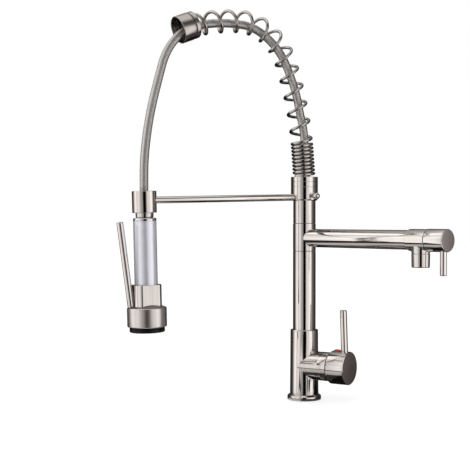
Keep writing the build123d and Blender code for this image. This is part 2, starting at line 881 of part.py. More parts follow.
# Hose adapter: runs in the upper riser and screws up through the collar
adapter_bottom = riser_top - 12.0
adapter_bore = 3.5
adapter_groove = riser_top - 5.0
adapter_neck = 7.2
with BuildPart() as hose_adapter:
    turn(
        deck,
        (adapter_bore, adapter_bottom),
        (upper_bore - running, adapter_bottom),
        (upper_bore - running, adapter_groove - 1.2),
        (upper_bore - seal_depth, adapter_groove - 1.2),
        (upper_bore - seal_depth, adapter_groove + 1.2),
        (upper_bore - running, adapter_groove + 1.2),
        (upper_bore - running, collar_floor),
        (adapter_radius, collar_floor),
        (adapter_radius, collar_top),
        (adapter_neck, collar_top + 1.0),
        (adapter_neck, ferrule_bottom),
        (adapter_bore, ferrule_bottom),
    )
save(hose_adapter, "hose_adapter")

# Rubber seal in the adapter's groove
with BuildPart() as adapter_seal:
    turn(
        deck,
        (upper_bore - seal_depth, adapter_groove - 0.9),
        (upper_bore - 0.6, adapter_groove - 0.9),
        (upper_bore - running, adapter_groove - 0.4),
        (upper_bore - running, adapter_groove + 0.4),
        (upper_bore - 0.6, adapter_groove + 0.9),
        (upper_bore - seal_depth, adapter_groove + 0.9),
    )
save(adapter_seal, "adapter_seal")

# Crimped ferrule on the hose's upper end
with BuildPart() as hose_ferrule:
    turn(
        deck,
        (0, ferrule_bottom),
        (ferrule_radius, ferrule_bottom),
        (ferrule_radius, ferrule_top - 0.6),
        (ferrule_radius - 0.6, ferrule_top),
        (0, ferrule_top),
    )
save(hose_ferrule, "hose_ferrule")


def arch_stretches():
    """The arch as (length, curvature) stretches; a straight one has no curvature."""
    stretches = [(arch_straight, 0.0)]
    for radius, sweep_angle in arch_arcs:
        stretches.append((radius * math.radians(sweep_angle), 1.0 / radius))
    return stretches


arch_length = sum(length for length, _ in arch_stretches())


def arch_point(run):
    """Point, heading and curvature of the arch after a run along it."""
    x, z = arch_start
    heading = math.radians(arch_heading)
    stretches = arch_stretches()
    for index, (length, curvature) in enumerate(stretches):
        last = index == len(stretches) - 1
        part = run if last else min(run, length)
        if curvature == 0.0:
            x -= part * math.sin(heading)
            z += part * math.cos(heading)
        else:
            after = heading + part * curvature
            x += (math.cos(after) - math.cos(heading)) / curvature
            z += (math.sin(after) - math.sin(heading)) / curvature
            heading = after
        run -= part
        if run <= 0:
            break
    return x, z, heading, curvature


def wire_run(turns):
    """Distance along the arch after a number of turns: close coils, then open ones."""
    opened = turns - close_turns
    extra = open_pitch - close_pitch
    if opened <= 0:
        ramp = 0.0
    elif opened < pitch_ramp:
        ramp = opened**2 / (2 * pitch_ramp)
    else:
        ramp = opened - pitch_ramp / 2
    return wire_radius + close_pitch * turns + extra * ramp


wire_turn_radius = spring_radius - wire_radius


def wire_point(turns):
    """Point of the wire's centreline, wound right-handed from the inner side."""
    x, z, heading, _ = arch_point(wire_run(turns))
    angle = math.pi + 2 * math.pi * turns
    outward = wire_turn_radius * math.cos(angle)
    back = wire_turn_radius * math.sin(angle)
    return Vector(x + outward * math.cos(heading), back, z + outward * math.sin(heading))


def wire_tangent(turns):
    """Unit tangent of the wire's centreline."""
    step = 0.001
    return (wire_point(turns + step) - wire_point(turns - step)).normalized()


def biarc_joint(start, start_tangent, end, end_tangent):
    """Point where two arcs of equal tangent lengths meet, and their shared tangent."""
    chord = end - start
    bend = 2 * (1 - start_tangent.dot(end_tangent))
    along = chord.dot(start_tangent + end_tangent)
    reach = (-along + math.sqrt(along**2 + bend * chord.dot(chord))) / bend
    first_corner = start + start_tangent * reach
    second_corner = end - end_tangent * reach
    return (first_corner + second_corner) * 0.5, (second_corner - first_corner).normalized()


# Arch spring: one wire, close coils above the collar and open turns along the arch
total_turns = close_turns + open_turns
biarcs_per_turn = 2
steps = round(total_turns * biarcs_per_turn)
stations = [total_turns * k / steps for k in range(steps + 1)]
with BuildPart() as arch_spring:
    with BuildLine() as wire_path:
        first, first_tangent = wire_point(0), wire_tangent(0)
        Line(first - first_tangent * 2 * wire_radius, first)
        for before, after in zip(stations, stations[1:]):
            start, start_tangent = wire_point(before), wire_tangent(before)
            end, end_tangent = wire_point(after), wire_tangent(after)
            joint, joint_tangent = biarc_joint(start, start_tangent, end, end_tangent)
            TangentArc(start, joint, tangent=start_tangent)
            TangentArc(joint, end, tangent=joint_tangent)
        Line(end, end + end_tangent * 2 * wire_radius)
    wire = wire_path.wires()[0]
    with BuildSketch(Plane(origin=wire @ 0, z_dir=wire % 0)) as wire_section:
        Circle(wire_radius)
    sweep(wire_section.sketch, path=wire)
save(arch_spring, "arch_spring")

samples = [wire_point(total_turns * k / 1500) for k in range(1501)]
apart = round(1500 / total_turns * 0.6)
least_gap = min(
    (samples[i] - samples[j]).length
    for i in range(0, len(samples), 3)
    for j in range(i + apart, min(i + 3 * apart, len(samples)), 2)
) - 2 * wire_radius
print("least gap between turns", round(least_gap, 2))

# Spring cup: the end collar that the hose leaves the arch through
mouth_x, mouth_z, mouth_heading, _ = arch_point(arch_length)
cup = Plane(
    origin=(mouth_x, 0, mouth_z),
    x_dir=(math.cos(mouth_heading), 0, math.sin(mouth_heading)),
    z_dir=(-math.sin(mouth_heading), 0, math.cos(mouth_heading)),
)
cup_floor = -cup_length + 2.0
guide_bore = hose_radius + 4.2
with BuildPart() as spring_cup:
    turn(
        cup,
        (guide_bore + 1.5, -cup_length),
        (cup_radius - 0.8, -cup_length),
        (cup_radius, -cup_length + 0.8),
        (cup_radius, -0.5),
        (cup_radius - 0.4, 0),
        (cup_radius - 1.4, 0),
        (cup_radius - 1.4, cup_floor),
        (guide_bore + 1.5, cup_floor),
    )
save(spring_cup, "spring_cup")

# Plastic guide ring in the cup's floor that the hose slides through
with BuildPart() as hose_guide:
    turn(
        cup,
        (guide_bore, -cup_length - cup_groove),
        (guide_bore + 1.5, -cup_length - cup_groove),
        (guide_bore + 1.5, cup_floor),
        (guide_bore + 3.2, cup_floor),
        (guide_bore + 3.2, cup_floor + 2.5),
        (guide_bore, cup_floor + 2.5),
    )
save(hose_guide, "hose_guide")

# Rear ring behind the cup that grips the last turn of the spring
rear_high = -cup_length - cup_groove
with BuildPart() as spring_retainer:
    turn(
        cup,
        (wire_turn_radius + wire_radius + 0.3, rear_high - cup_ring),
        (cup_radius - 0.6, rear_high - cup_ring),
        (cup_radius - 0.2, rear_high - cup_ring + 0.5),
        (cup_radius - 0.2, rear_high - 0.5),
        (cup_radius - 1.2, rear_high),
        (cup_radius - 2.4, rear_high),
        (cup_radius - 2.4, -cup_length),
        (guide_bore + 1.5, -cup_length),
        (guide_bore + 1.5, rear_high - 1.0),
        (wire_turn_radius + wire_radius + 0.3, rear_high - 1.0),
    )
save(spring_retainer, "spring_retainer")


def route_radii(points):
    """Largest arc at each corner: 0.45 of the shorter run over the tangent of half the turn."""
    radii = []
    for before, corner, after in zip(points, points[1:], points[2:]):
        inward = Vector(corner[0] - before[0], corner[1] - before[1])
        outward = Vector(after[0] - corner[0], after[1] - corner[1])
        half_turn = math.radians(inward.get_angle(outward)) / 2
        radii.append(0.45 * min(inward.length, outward.length) / math.tan(half_turn))
    return radii


def hose_tube(points, radii):
    """Adds a tube along straight runs and tangent arcs in the plane of the arch."""
    with BuildLine(Plane.XZ) as route:
        FilletPolyline(*points, radius=radii)
    path = route.wires()[0]
    with BuildSketch(Plane(origin=path @ 0, z_dir=path % 0)) as hose_section:
        Circle(hose_radius)
    sweep(hose_section.sketch, path=path)
    return path.length


def print_tube(name, piece, length):
    """Prints a tube's length and its volume against section times length."""
    section = math.pi * hose_radius**2
    print(name, "length", round(length, 1), "volume ratio", round(piece.part.volume / (section * length), 4))


# The hose: one route from the ferrule to the hose nut, cut on a straight run inside the arch
split_share = 0.45
split_point = tuple(
    a + split_share * (b - a) for a, b in zip(hose_inside[-1], hose_outside[0])
)
ring_point = spray.from_local_coords((0, 0, ring_half + 6.0))
nut_end = spray.from_local_coords((0, 0, nut_high))
hose_outside += [(ring_point.X, ring_point.Z), (nut_end.X, nut_end.Z)]
hose_radii = route_radii(hose_inside + hose_outside)
inside_corners = len(hose_inside) - 1
print("hose radii", [round(radius, 1) for radius in hose_radii])
with BuildPart() as hose_inner:
    inner_length = hose_tube(hose_inside + [split_point], hose_radii[:inside_corners])
save(hose_inner, "hose_inner")
print_tube("hose inside the arch", hose_inner, inner_length)

with BuildPart() as hose_free:
    free_length = hose_tube([split_point] + hose_outside, hose_radii[inside_corners:])
save(hose_free, "hose_free")
print_tube("hose outside the arch", hose_free, free_length)
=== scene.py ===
"""Dresses a pull-out kitchen faucet with a spring arch, a docked spray and a pot filler.

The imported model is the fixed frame. Turned metalwork is lathed again with rounded edges. The
arch spring, the hose braid, the spray nozzles and the aerator lattice are grown by Geometry
Nodes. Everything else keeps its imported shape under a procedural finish. Sizes are millimetres
in a part's own frame unless a line says otherwise, and MM turns them into the scene's metres.
"""

from __future__ import annotations

import json
import logging
import math
from dataclasses import dataclass
from enum import Enum
from functools import cache
from typing import Sequence

import bmesh
import bpy
from mathutils import Matrix, Vector

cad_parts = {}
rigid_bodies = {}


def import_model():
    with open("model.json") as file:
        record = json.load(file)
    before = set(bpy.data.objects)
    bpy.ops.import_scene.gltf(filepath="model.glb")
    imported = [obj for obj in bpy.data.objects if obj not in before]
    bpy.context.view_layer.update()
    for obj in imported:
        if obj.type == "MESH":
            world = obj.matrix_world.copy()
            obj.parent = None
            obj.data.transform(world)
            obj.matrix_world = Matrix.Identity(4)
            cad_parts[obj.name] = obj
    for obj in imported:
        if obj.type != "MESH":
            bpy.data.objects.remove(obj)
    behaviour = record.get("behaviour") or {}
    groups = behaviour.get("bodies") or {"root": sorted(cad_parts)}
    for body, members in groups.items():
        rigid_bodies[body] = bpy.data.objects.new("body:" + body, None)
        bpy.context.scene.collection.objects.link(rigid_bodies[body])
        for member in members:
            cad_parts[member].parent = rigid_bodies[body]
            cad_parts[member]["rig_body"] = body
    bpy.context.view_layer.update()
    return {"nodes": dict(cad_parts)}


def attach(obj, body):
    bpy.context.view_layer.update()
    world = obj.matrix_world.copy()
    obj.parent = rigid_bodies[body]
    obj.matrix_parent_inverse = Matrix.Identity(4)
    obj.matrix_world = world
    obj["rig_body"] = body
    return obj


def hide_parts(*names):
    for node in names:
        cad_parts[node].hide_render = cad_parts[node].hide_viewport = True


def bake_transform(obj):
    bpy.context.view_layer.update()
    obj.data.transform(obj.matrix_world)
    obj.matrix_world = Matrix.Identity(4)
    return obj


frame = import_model()

logging.basicConfig(level=logging.INFO, format="%(name)s: %(message)s")
log = logging.getLogger("faucet")

MM = 0.001
CREASE = math.radians(32)
BEVEL_ANGLE = math.radians(38)
Triple = tuple[float, float, float]
Outline = Sequence[tuple[float, float]]
Material = bpy.types.Material
Node = bpy.types.Node
Piece = bpy.types.Object
Socket = bpy.types.NodeSocket


@dataclass(frozen=True)
class Axes:
    """A right-handed frame: its origin in metres, its x direction and its z direction."""

    origin: Triple
    x: Triple = (1.0, 0.0, 0.0)
    z: Triple = (0.0, 0.0, 1.0)

    def matrix(self) -> Matrix:
        """The frame as a matrix from its own metres to the model's."""
        z = Vector(self.z).normalized()
        x = (Vector(self.x) - z * z.dot(Vector(self.x))).normalized()
        turn = Matrix((x, z.cross(x), z)).transposed().to_4x4()
        return Matrix.Translation(Vector(self.origin)) @ turn

    def at(self, x: float, y: float, z: float) -> Vector:
        """A point given in the frame's millimetres, in the model's metres."""
        return self.matrix() @ Vector((x * MM, y * MM, z * MM))

    def moved(self, x: float, y: float, z: float) -> Axes:
        """The same directions from another origin, in the frame's millimetres."""
        return Axes(tuple(self.at(x, y, z)), self.x, self.z)


def level(azimuth: float) -> Triple:
    """A unit direction in the horizontal plane, from its azimuth in degrees."""
    return (math.cos(math.radians(azimuth)), math.sin(math.radians(azimuth)), 0.0)


def across(height: float, azimuth: float) -> Axes:
    """A frame on the column's axis whose z points out along a horizontal direction."""
    return Axes((0.0, 0.0, height * MM), UP, level(azimuth))


def upright(origin: Triple, lean: float) -> Axes:
    """A frame whose z leans from the vertical in the x-z plane, by an angle in radians."""
    return Axes(origin, (math.cos(lean), 0.0, math.sin(lean)), (-math.sin(lean), 0.0, math.cos(lean)))


UP = (0.0, 0.0, 1.0)
DECK = Axes((0.0, 0.0, 0.0))
MIXER = across(42.2, -61.4)
POT = across(199.0, -75.0)
CLAMP = across(250.4, -85.0)
SPRAY = upright((-0.215, 0.0, 0.242), math.radians(1.4))
ROD = Axes(tuple(SPRAY.at(0, 0, 2.0)), SPRAY.z, SPRAY.x)
CUP = upright((-0.17219, 0.0, 0.44050), math.radians(111.5))


class Value:
    """One output of a node, with plain arithmetic for those that are numbers."""

    def __init__(self, graph: Graph, socket: Socket) -> None:
        """Takes the output's socket and its graph."""
        self.graph, self.socket = graph, socket

    def apply(self, operation: str, *others: object) -> Value:
        """A Math node's result on this value and others."""
        return self.graph.math(operation, self, *others)

    def __add__(self, other: object) -> Value:
        """The sum with a number or a value."""
        return self.apply("ADD", other)

    def __sub__(self, other: object) -> Value:
        """The difference from a number or a value."""
        return self.apply("SUBTRACT", other)

    def __mul__(self, other: object) -> Value:
        """The product with a number or a value."""
        return self.apply("MULTIPLY", other)

    def __truediv__(self, other: object) -> Value:
        """The quotient by a number or a value."""
        return self.apply("DIVIDE", other)


class Graph:
    """A small hand for wiring one node tree."""

    def __init__(self, tree: bpy.types.NodeTree) -> None:
        """Takes a material's, the world's or a modifier's node tree."""
        self.tree = tree

    def add(self, kind: str, settings: dict[str, object] | None = None, **inputs: object) -> Node:
        """Adds a node.

        Args:
            kind: The node's type name.
            settings: Attributes to set on the node before its inputs.
            **inputs: Sockets by name with underscores for spaces, each a number or an output.

        Returns:
            The new node.
        """
        node = self.tree.nodes.new(kind)
        for name, value in (settings or {}).items():
            setattr(node, name, value)
        for name, value in inputs.items():
            title = name.replace("_", " ").lower()
            sockets = [socket for socket in node.inputs if socket.enabled and socket.name.lower() == title]
            self.feed(sockets[0], value)
        return node

    def out(
        self, kind: str, settings: dict[str, object] | None = None, output: int | str = 0, **inputs: object
    ) -> Value:
        """Adds a node as add does, and gives the output with that number or name."""
        return Value(self, self.add(kind, settings, **inputs).outputs[output])

    def feed(self, socket: Socket, value: object) -> None:
        """Links an output to an input, or sets the input's own value."""
        value = value.socket if isinstance(value, Value) else value
        if isinstance(value, Socket):
            self.tree.links.new(value, socket)
        else:
            socket.default_value = value

    def math(self, operation: str, *operands: object) -> Value:
        """A Math node's result on numbers and values."""
        node = self.add("ShaderNodeMath", {"operation": operation})
        for socket, value in zip(node.inputs, operands):
            self.feed(socket, value)
        return Value(self, node.outputs[0])

    def vector(self, operation: str, first: object, second: object = (0, 0, 0), scale: object = 1.0) -> Value:
        """A Vector Math node's result.

        Args:
            operation: The node's operation.
            first: Its first vector, a triple or a value.
            second: Its second vector.
            scale: The factor of the SCALE operation.

        Returns:
            The output, a number for the operations that give one.
        """
        node = self.add("ShaderNodeVectorMath", {"operation": operation})
        self.feed(node.inputs[0], first)
        self.feed(node.inputs[1], second)
        if operation == "SCALE":
            self.feed(node.inputs["Scale"], scale)
        return Value(self, next(out for out in node.outputs if out.enabled))

    def blend(self, first: Value, second: Value, share: float) -> Value:
        """Two values in one, the first by its share and the second by the rest."""
        return first * share + second * (1 - share)

    def local(self, axes: Axes) -> Value:
        """Object coordinates turned into a piece's own frame, in metres."""
        matrix = axes.matrix()
        place, turn = tuple(matrix.translation), tuple(matrix.to_euler())
        here = self.out("ShaderNodeTexCoord", output="Object")
        texture = {"vector_type": "TEXTURE"}
        return self.out("ShaderNodeMapping", texture, Vector=here, Location=place, Rotation=turn)

    def noise(self, place: object, scale: float, detail: float = 2.0, stretch: Triple = (1, 1, 1)) -> Value:
        """Fractal noise.

        Args:
            place: The coordinates to read.
            scale: Features per metre.
            detail: The number of octaves.
            stretch: How densely each axis is read, so a low value draws the pattern out along it.

        Returns:
            The output, about 0.5 on average.
        """
        drawn = self.vector("MULTIPLY", place, stretch)
        return self.out("ShaderNodeTexNoise", Vector=drawn, Scale=scale, Detail=detail)

    def bands(self, value: object, scale: float, detail: float) -> Value:
        """Noise along one value, which draws bands square to it."""
        return self.out("ShaderNodeTexNoise", {"noise_dimensions": "1D"}, W=value, Scale=scale, Detail=detail)

    def ramp(self, value: object, stops: Sequence[tuple[float, Triple]]) -> Value:
        """A colour ramp's colour for a value."""
        node = self.add("ShaderNodeValToRGB")
        elements = node.color_ramp.elements
        while len(elements) < len(stops):
            elements.new(0.5)
        for element, (position, colour) in zip(elements, stops):
            element.position = position
            element.color = (*colour, 1.0)
        self.feed(node.inputs[0], value)
        return Value(self, node.outputs[0])

    def seen(self) -> Value:
        """One for the rays that leave the camera or a mirror-like surface, and nothing for the rest."""
        rays = self.add("ShaderNodeLightPath").outputs
        return self.math("MAXIMUM", rays["Is Camera Ray"], rays["Is Glossy Ray"])

    def join(self, parts: Sequence[Value]) -> Value:
        """The geometry of several outputs in one."""
        whole = self.add("GeometryNodeJoinGeometry")
        for part in parts:
            self.feed(whole.inputs[0], part)
        return Value(self, whole.outputs[0])


def surface(name: str) -> tuple[Material, Graph, Node]:
    """A new material, the graph to wire it with, and its Principled node."""
    material = bpy.data.materials.new(name)
    material.use_nodes = True
    return material, Graph(material.node_tree), material.node_tree.nodes["Principled BSDF"]


@dataclass(frozen=True)
class Finish:
    """A procedural finish, drawn in the frame of the piece that wears it."""

    name: str
    axes: Axes = DECK
    colour: Triple = (0.80, 0.80, 0.80)

    @cache
    def make(self) -> Material:
        """The finish's material, built when it is first asked for."""
        material, graph, shader = surface(self.name)
        self.paint(graph, shader)
        return material

    def paint(self, graph: Graph, shader: Node) -> None:
        """Draws the pattern on the shader. Every kind of finish has its own."""
        raise NotImplementedError

    def coat(
        self,
        graph: Graph,
        shader: Node,
        tint: tuple[Value, Sequence[tuple[float, float]]],
        shine: tuple[Value, float, float, float, float],
        relief: tuple[Value, float, float] | None = None,
        metallic: float = 1.0,
    ) -> None:
        """Feeds a pattern to the shader.

        Args:
            graph: The material's graph.
            shader: Its Principled node.
            tint: The value that varies the colour, and its stops as (position, lightness).
            shine: The value that varies the roughness, its range and the roughnesses at its ends.
            relief: The height field, its strength and its depth in metres.
            metallic: How much of a metal it is.
        """
        value, stops = tint
        stops = [(at, tuple(min(1.0, channel * gain) for channel in self.colour)) for at, gain in stops]
        graph.feed(shader.inputs["Base Color"], graph.ramp(value, stops))
        value, low, high, smooth, rough = shine
        ends = {"From_Min": low, "From_Max": high, "To_Min": smooth, "To_Max": rough}
        graph.feed(shader.inputs["Roughness"], graph.out("ShaderNodeMapRange", Value=value, **ends))
        shader.inputs["Metallic"].default_value = metallic
        if relief:
            height, strength, depth = relief
            bump = graph.out("ShaderNodeBump", Strength=strength, Distance=depth, Height=height)
            graph.feed(shader.inputs["Normal"], bump)


@dataclass(frozen=True)
class BrushedNickel(Finish):
    """Warm nickel with long fine brush lines along one axis."""

    colour: Triple = (0.76, 0.715, 0.69)
    smooth: float = 0.05
    rough: float = 0.12

    def paint(self, graph: Graph, shader: Node) -> None:
        """Draws brush lines of two widths under a faint cloud."""
        place = graph.local(self.axes)
        fine, broad = graph.noise(place, 1500, 3, (1, 1, 0.012)), graph.noise(place, 420, 2, (1, 1, 0.02))
        streak = graph.blend(fine, broad, 0.6)
        tone = graph.blend(graph.noise(place, 38, 2), streak, 0.18)
        stops = ((0.32, 0.84), (0.5, 1.0), (0.68, 1.10))
        shine = (streak, 0.35, 0.65, self.smooth, self.rough)
        self.coat(graph, shader, (tone, stops), shine, (streak, 0.05, 0.00004))


@dataclass(frozen=True)
class SpunNickel(Finish):
    """Nickel with the fine circles of an end face turned on a lathe, darker than the side as painted shade.
    """

    colour: Triple = (0.37, 0.32, 0.31)

    def paint(self, graph: Graph, shader: Node) -> None:
        """Draws circles about the axis, broken up by grain."""
        place = graph.local(self.axes)
        radius = graph.vector("LENGTH", graph.vector("MULTIPLY", place, (1, 1, 0)))
        tone = graph.blend(graph.noise(place, 1300, 3), graph.bands(radius, 2600, 3), 0.45)
        stops = ((0.35, 0.80), (0.65, 1.22))
        self.coat(graph, shader, (tone, stops), (tone, 0.35, 0.65, 0.36, 0.50), (tone, 0.12, 0.00004))


@dataclass(frozen=True)
class Polished(Finish):
    """Bright polished metal with faint wipe marks."""

    smooth: float = 0.05
    rough: float = 0.12

    def paint(self, graph: Graph, shader: Node) -> None:
        """Draws haze and wipe marks."""
        place = graph.local(self.axes)
        haze, marks = graph.noise(place, 160, 4), graph.noise(place, 900, 2, (1, 0.15, 1))
        shine = (haze, 0.3, 0.7, self.smooth, self.rough)
        self.coat(graph, shader, (haze, ((0.3, 0.92), (0.7, 1.0))), shine, (marks, 0.04, 0.00002))


@dataclass(frozen=True)
class TurnedMetal(Finish):
    """Plain turned metal of the hidden pieces, with tool marks round one axis."""

    def paint(self, graph: Graph, shader: Node) -> None:
        """Draws tool marks and a faint cloud."""
        place = graph.local(self.axes)
        along = graph.out("ShaderNodeSeparateXYZ", output="Z", Vector=place)
        grooves, cloud = graph.bands(along, 2200, 2), graph.noise(place, 90, 3)
        stops = ((0.3, 0.82), (0.7, 1.08))
        self.coat(graph, shader, (cloud, stops), (grooves, 0.3, 0.7, 0.24, 0.40), (grooves, 0.15, 0.00005))


@dataclass(frozen=True)
class SatinGrip(Finish):
    """Matte silver lacquer with a violet cast and a fine metal flake."""

    colour: Triple = (0.80, 0.81, 0.88)

    def paint(self, graph: Graph, shader: Node) -> None:
        """Draws flake and mottle under a thin coat."""
        place = graph.local(self.axes)
        flake = graph.noise(place, 4200, 1)
        tone = graph.blend(flake, graph.noise(place, 120, 3), 0.6)
        tint, shine = (tone, ((0.35, 0.93), (0.65, 1.05))), (tone, 0.3, 0.7, 0.29, 0.36)
        self.coat(graph, shader, tint, shine, (flake, 0.05, 0.00003), metallic=0.72)
        shader.inputs["Coat Weight"].default_value = 0.12
        shader.inputs["Coat Roughness"].default_value = 0.35


class Softness(Enum):
    """How a moulding takes the light: its lowest and highest roughness and its specular level."""

    RUBBER = (0.50, 0.68, 0.30)
    POLYMER = (0.34, 0.46, 0.45)
    SATIN = (0.14, 0.22, 0.18)


@dataclass(frozen=True)
class Moulding(Finish):
    """A moulded plastic or rubber with a fine pebbled skin."""

    softness: Softness = Softness.POLYMER

    def paint(self, graph: Graph, shader: Node) -> None:
        """Draws pebbles and a little dust."""
        smooth, rough, specular = self.softness.value
        place = graph.local(self.axes)
        pebbles, dust = graph.noise(place, 2400, 2), graph.noise(place, 70, 4)
        tint, shine = (dust, ((0.3, 0.80), (0.7, 1.18))), (pebbles, 0.3, 0.7, smooth, rough)
        self.coat(graph, shader, tint, shine, (pebbles, 0.18, 0.00008), metallic=0.0)
        shader.inputs["Specular IOR Level"].default_value = specular


@dataclass(frozen=True)
class Enamel(Finish):
    """Glossy coloured enamel of the indicator button."""

    def paint(self, graph: Graph, shader: Node) -> None:
        """Draws a faint swirl under a clear coat."""
        swirl = graph.noise(graph.local(self.axes), 500, 3)
        tint, shine = (swirl, ((0.3, 0.86), (0.7, 1.1))), (swirl, 0.3, 0.7, 0.16, 0.24)
        self.coat(graph, shader, tint, shine, metallic=0.0)
        shader.inputs["Coat Weight"].default_value = 0.6


@dataclass(frozen=True)
class BraidWire(Finish):
    """Bright flattened wires lying side by side in each strand of the hose's braid."""

    colour: Triple = (0.66, 0.64, 0.63)
    wires: int = 5

    def paint(self, graph: Graph, shader: Node) -> None:
        """Draws the wires across each strand from the mesh's run and width attribute, with painted shade
        between wires and painted highlight on their crowns.
        """
        lay = graph.out("ShaderNodeAttribute", {"attribute_name": "lay"}, "Vector")
        over = graph.out("ShaderNodeSeparateXYZ", output="Y", Vector=lay)
        ridge_and_painted_shade = (over * (math.pi * self.wires)).apply("SINE").apply("ABSOLUTE")
        drift = graph.noise(lay, 60, 2)
        # Painted shade darkens the gaps between wires and painted highlight lightens their crowns.
        tint = (graph.blend(drift, ridge_and_painted_shade, 0.35), ((0.08, 0.18), (0.75, 1.30)))
        self.coat(graph, shader, tint, (drift, 0.3, 0.7, 0.08, 0.16), (ridge_and_painted_shade, 0.08, 0.00012))


def linked(name: str, data: bpy.types.ID) -> Piece:
    """A new object at the origin, in the scene."""
    piece = bpy.data.objects.new(name, data)
    bpy.context.scene.collection.objects.link(piece)
    return piece


def evaluated(piece: Piece) -> bpy.types.Mesh:
    """A plain mesh of an object with its modifiers applied."""
    bpy.context.view_layer.update()
    return bpy.data.meshes.new_from_object(piece.evaluated_get(bpy.context.evaluated_depsgraph_get()))


def eased(outline: Outline, radius: float, steps: int = 3) -> list[tuple[float, float]]:
    """Rounds the corners of a closed (radius, height) outline.

    Args:
        outline: The corners. Those on the axis and those that hardly bend stay as they are.
        radius: The largest rounding.
        steps: Points on each rounding.

    Returns:
        The outline with its rounded corners.
    """
    straight, most = 0.12, 0.42
    done: list[tuple[float, float]] = []
    for index, corner in enumerate(outline):
        here = Vector(corner)
        inward = here - Vector(outline[index - 1])
        outward = Vector(outline[(index + 1) % len(outline)]) - here
        bend = inward.angle(outward, 0.0)
        if corner[0] == 0 or bend < straight:
            done.append(corner)
            continue
        reach = min(radius * math.tan(bend / 2), most * inward.length, most * outward.length)
        start, end = here - inward.normalized() * reach, here + outward.normalized() * reach
        for step in range(steps + 1):
            t = step / steps
            done.append(tuple(start * (1 - t) ** 2 + here * 2 * t * (1 - t) + end * t**2))
    return done


def shaded(mesh: bpy.types.Mesh) -> None:
    """Shades a mesh smooth between its creases."""
    mesh.shade_smooth()
    mesh.set_sharp_from_angle(angle=CREASE)


def as_piece(name: str, builder: bmesh.types.BMesh, matrix: Matrix = Matrix.Identity(4)) -> Piece:
    """Turns a built mesh into an object at the origin.

    Args:
        name: The piece's name.
        builder: The mesh, which is freed.
        matrix: Where its own coordinates lie in the model.

    Returns:
        The linked object.
    """
    bmesh.ops.remove_doubles(builder, verts=builder.verts, dist=1e-7)
    builder.transform(matrix)
    bmesh.ops.recalc_face_normals(builder, faces=builder.faces)
    mesh = bpy.data.meshes.new(name)
    builder.to_mesh(mesh)
    builder.free()
    shaded(mesh)
    return linked(name, mesh)


def lathe(name: str, axes: Axes, outline: Outline, segments: int = 96, ease: float = 0.25) -> Piece:
    """Turns a closed outline about a frame's z axis.

    Args:
        name: The piece's name.
        axes: The frame it is turned in.
        outline: Corners as (radius, height).
        segments: Faces round the axis.
        ease: The rounding of its edges.

    Returns:
        The turned piece.
    """
    builder = bmesh.new()
    rings: list[list[bmesh.types.BMVert]] = []
    for radius, height in eased(outline, ease):
        ring = []
        for k in range(segments if radius else 1):
            turn = math.tau * k / segments
            place = (radius * MM * math.cos(turn), radius * MM * math.sin(turn), height * MM)
            ring.append(builder.verts.new(place))
        rings.append(ring)
    for ring, after in zip(rings, rings[1:] + rings[:1]):
        for k in range(segments):
            corners = [ring[k % len(ring)], ring[(k + 1) % len(ring)]]
            corners += [after[(k + 1) % len(after)], after[k % len(after)]]
            unique = list(dict.fromkeys(corners))
            if len(unique) > 2:
                builder.faces.new(unique)
    return as_piece(name, builder, axes.matrix())


def prism(name: str, axes: Axes, outline: Outline, low: float, high: float) -> Piece:
    """Raises a closed outline between two heights of a frame.

    Args:
        name: The piece's name.
        axes: The frame whose x and y the outline is drawn in.
        outline: Its corners as (x, y), anticlockwise.
        low: The lower height.
        high: The upper height.

    Returns:
        The closed piece.
    """
    builder = bmesh.new()
    foot, head = ([builder.verts.new((x * MM, y * MM, z * MM)) for x, y in outline] for z in (low, high))
    builder.faces.new(foot[::-1])
    builder.faces.new(head)
    for k in range(len(outline)):
        after = (k + 1) % len(outline)
        builder.faces.new((foot[k], foot[after], head[after], head[k]))
    return as_piece(name, builder, axes.matrix())


def carve(piece: Piece, cutters: Sequence[Piece]) -> None:
    """Cuts shapes out of a piece and clears them away."""
    for cutter in cutters:
        cut = piece.modifiers.new("cut", "BOOLEAN")
        cut.operation = "DIFFERENCE"
        cut.solver = "EXACT"
        cut.object = cutter
        mesh = evaluated(piece)
        piece.modifiers.remove(cut)
        piece.data = mesh
        bpy.data.objects.remove(cutter)
    shaded(piece.data)


def broken(piece: Piece, width: float) -> Piece:
    """Breaks a piece's sharp edges by a width."""
    modifier = piece.modifiers.new("edges", "BEVEL")
    modifier.width = width * MM
    modifier.segments = 2
    modifier.limit_method = "ANGLE"
    modifier.angle_limit = BEVEL_ANGLE
    modifier.harden_normals = True
    return piece


def refined(name: str, node: str, bevel: float = 0.0) -> Piece:
    """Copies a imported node, merges its triangles and shades it smooth.

    Args:
        name: The piece's name.
        node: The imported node.
        bevel: The width that its sharp edges are broken by, or 0.

    Returns:
        The refined piece.
    """
    builder = bmesh.new()
    builder.from_mesh(frame["nodes"][node].data)
    bmesh.ops.remove_doubles(builder, verts=builder.verts, dist=1e-6)
    flat = math.radians(0.4)
    bmesh.ops.dissolve_limit(builder, angle_limit=flat, verts=builder.verts, edges=builder.edges)
    piece = as_piece(name, builder)
    return broken(piece, bevel) if bevel else piece


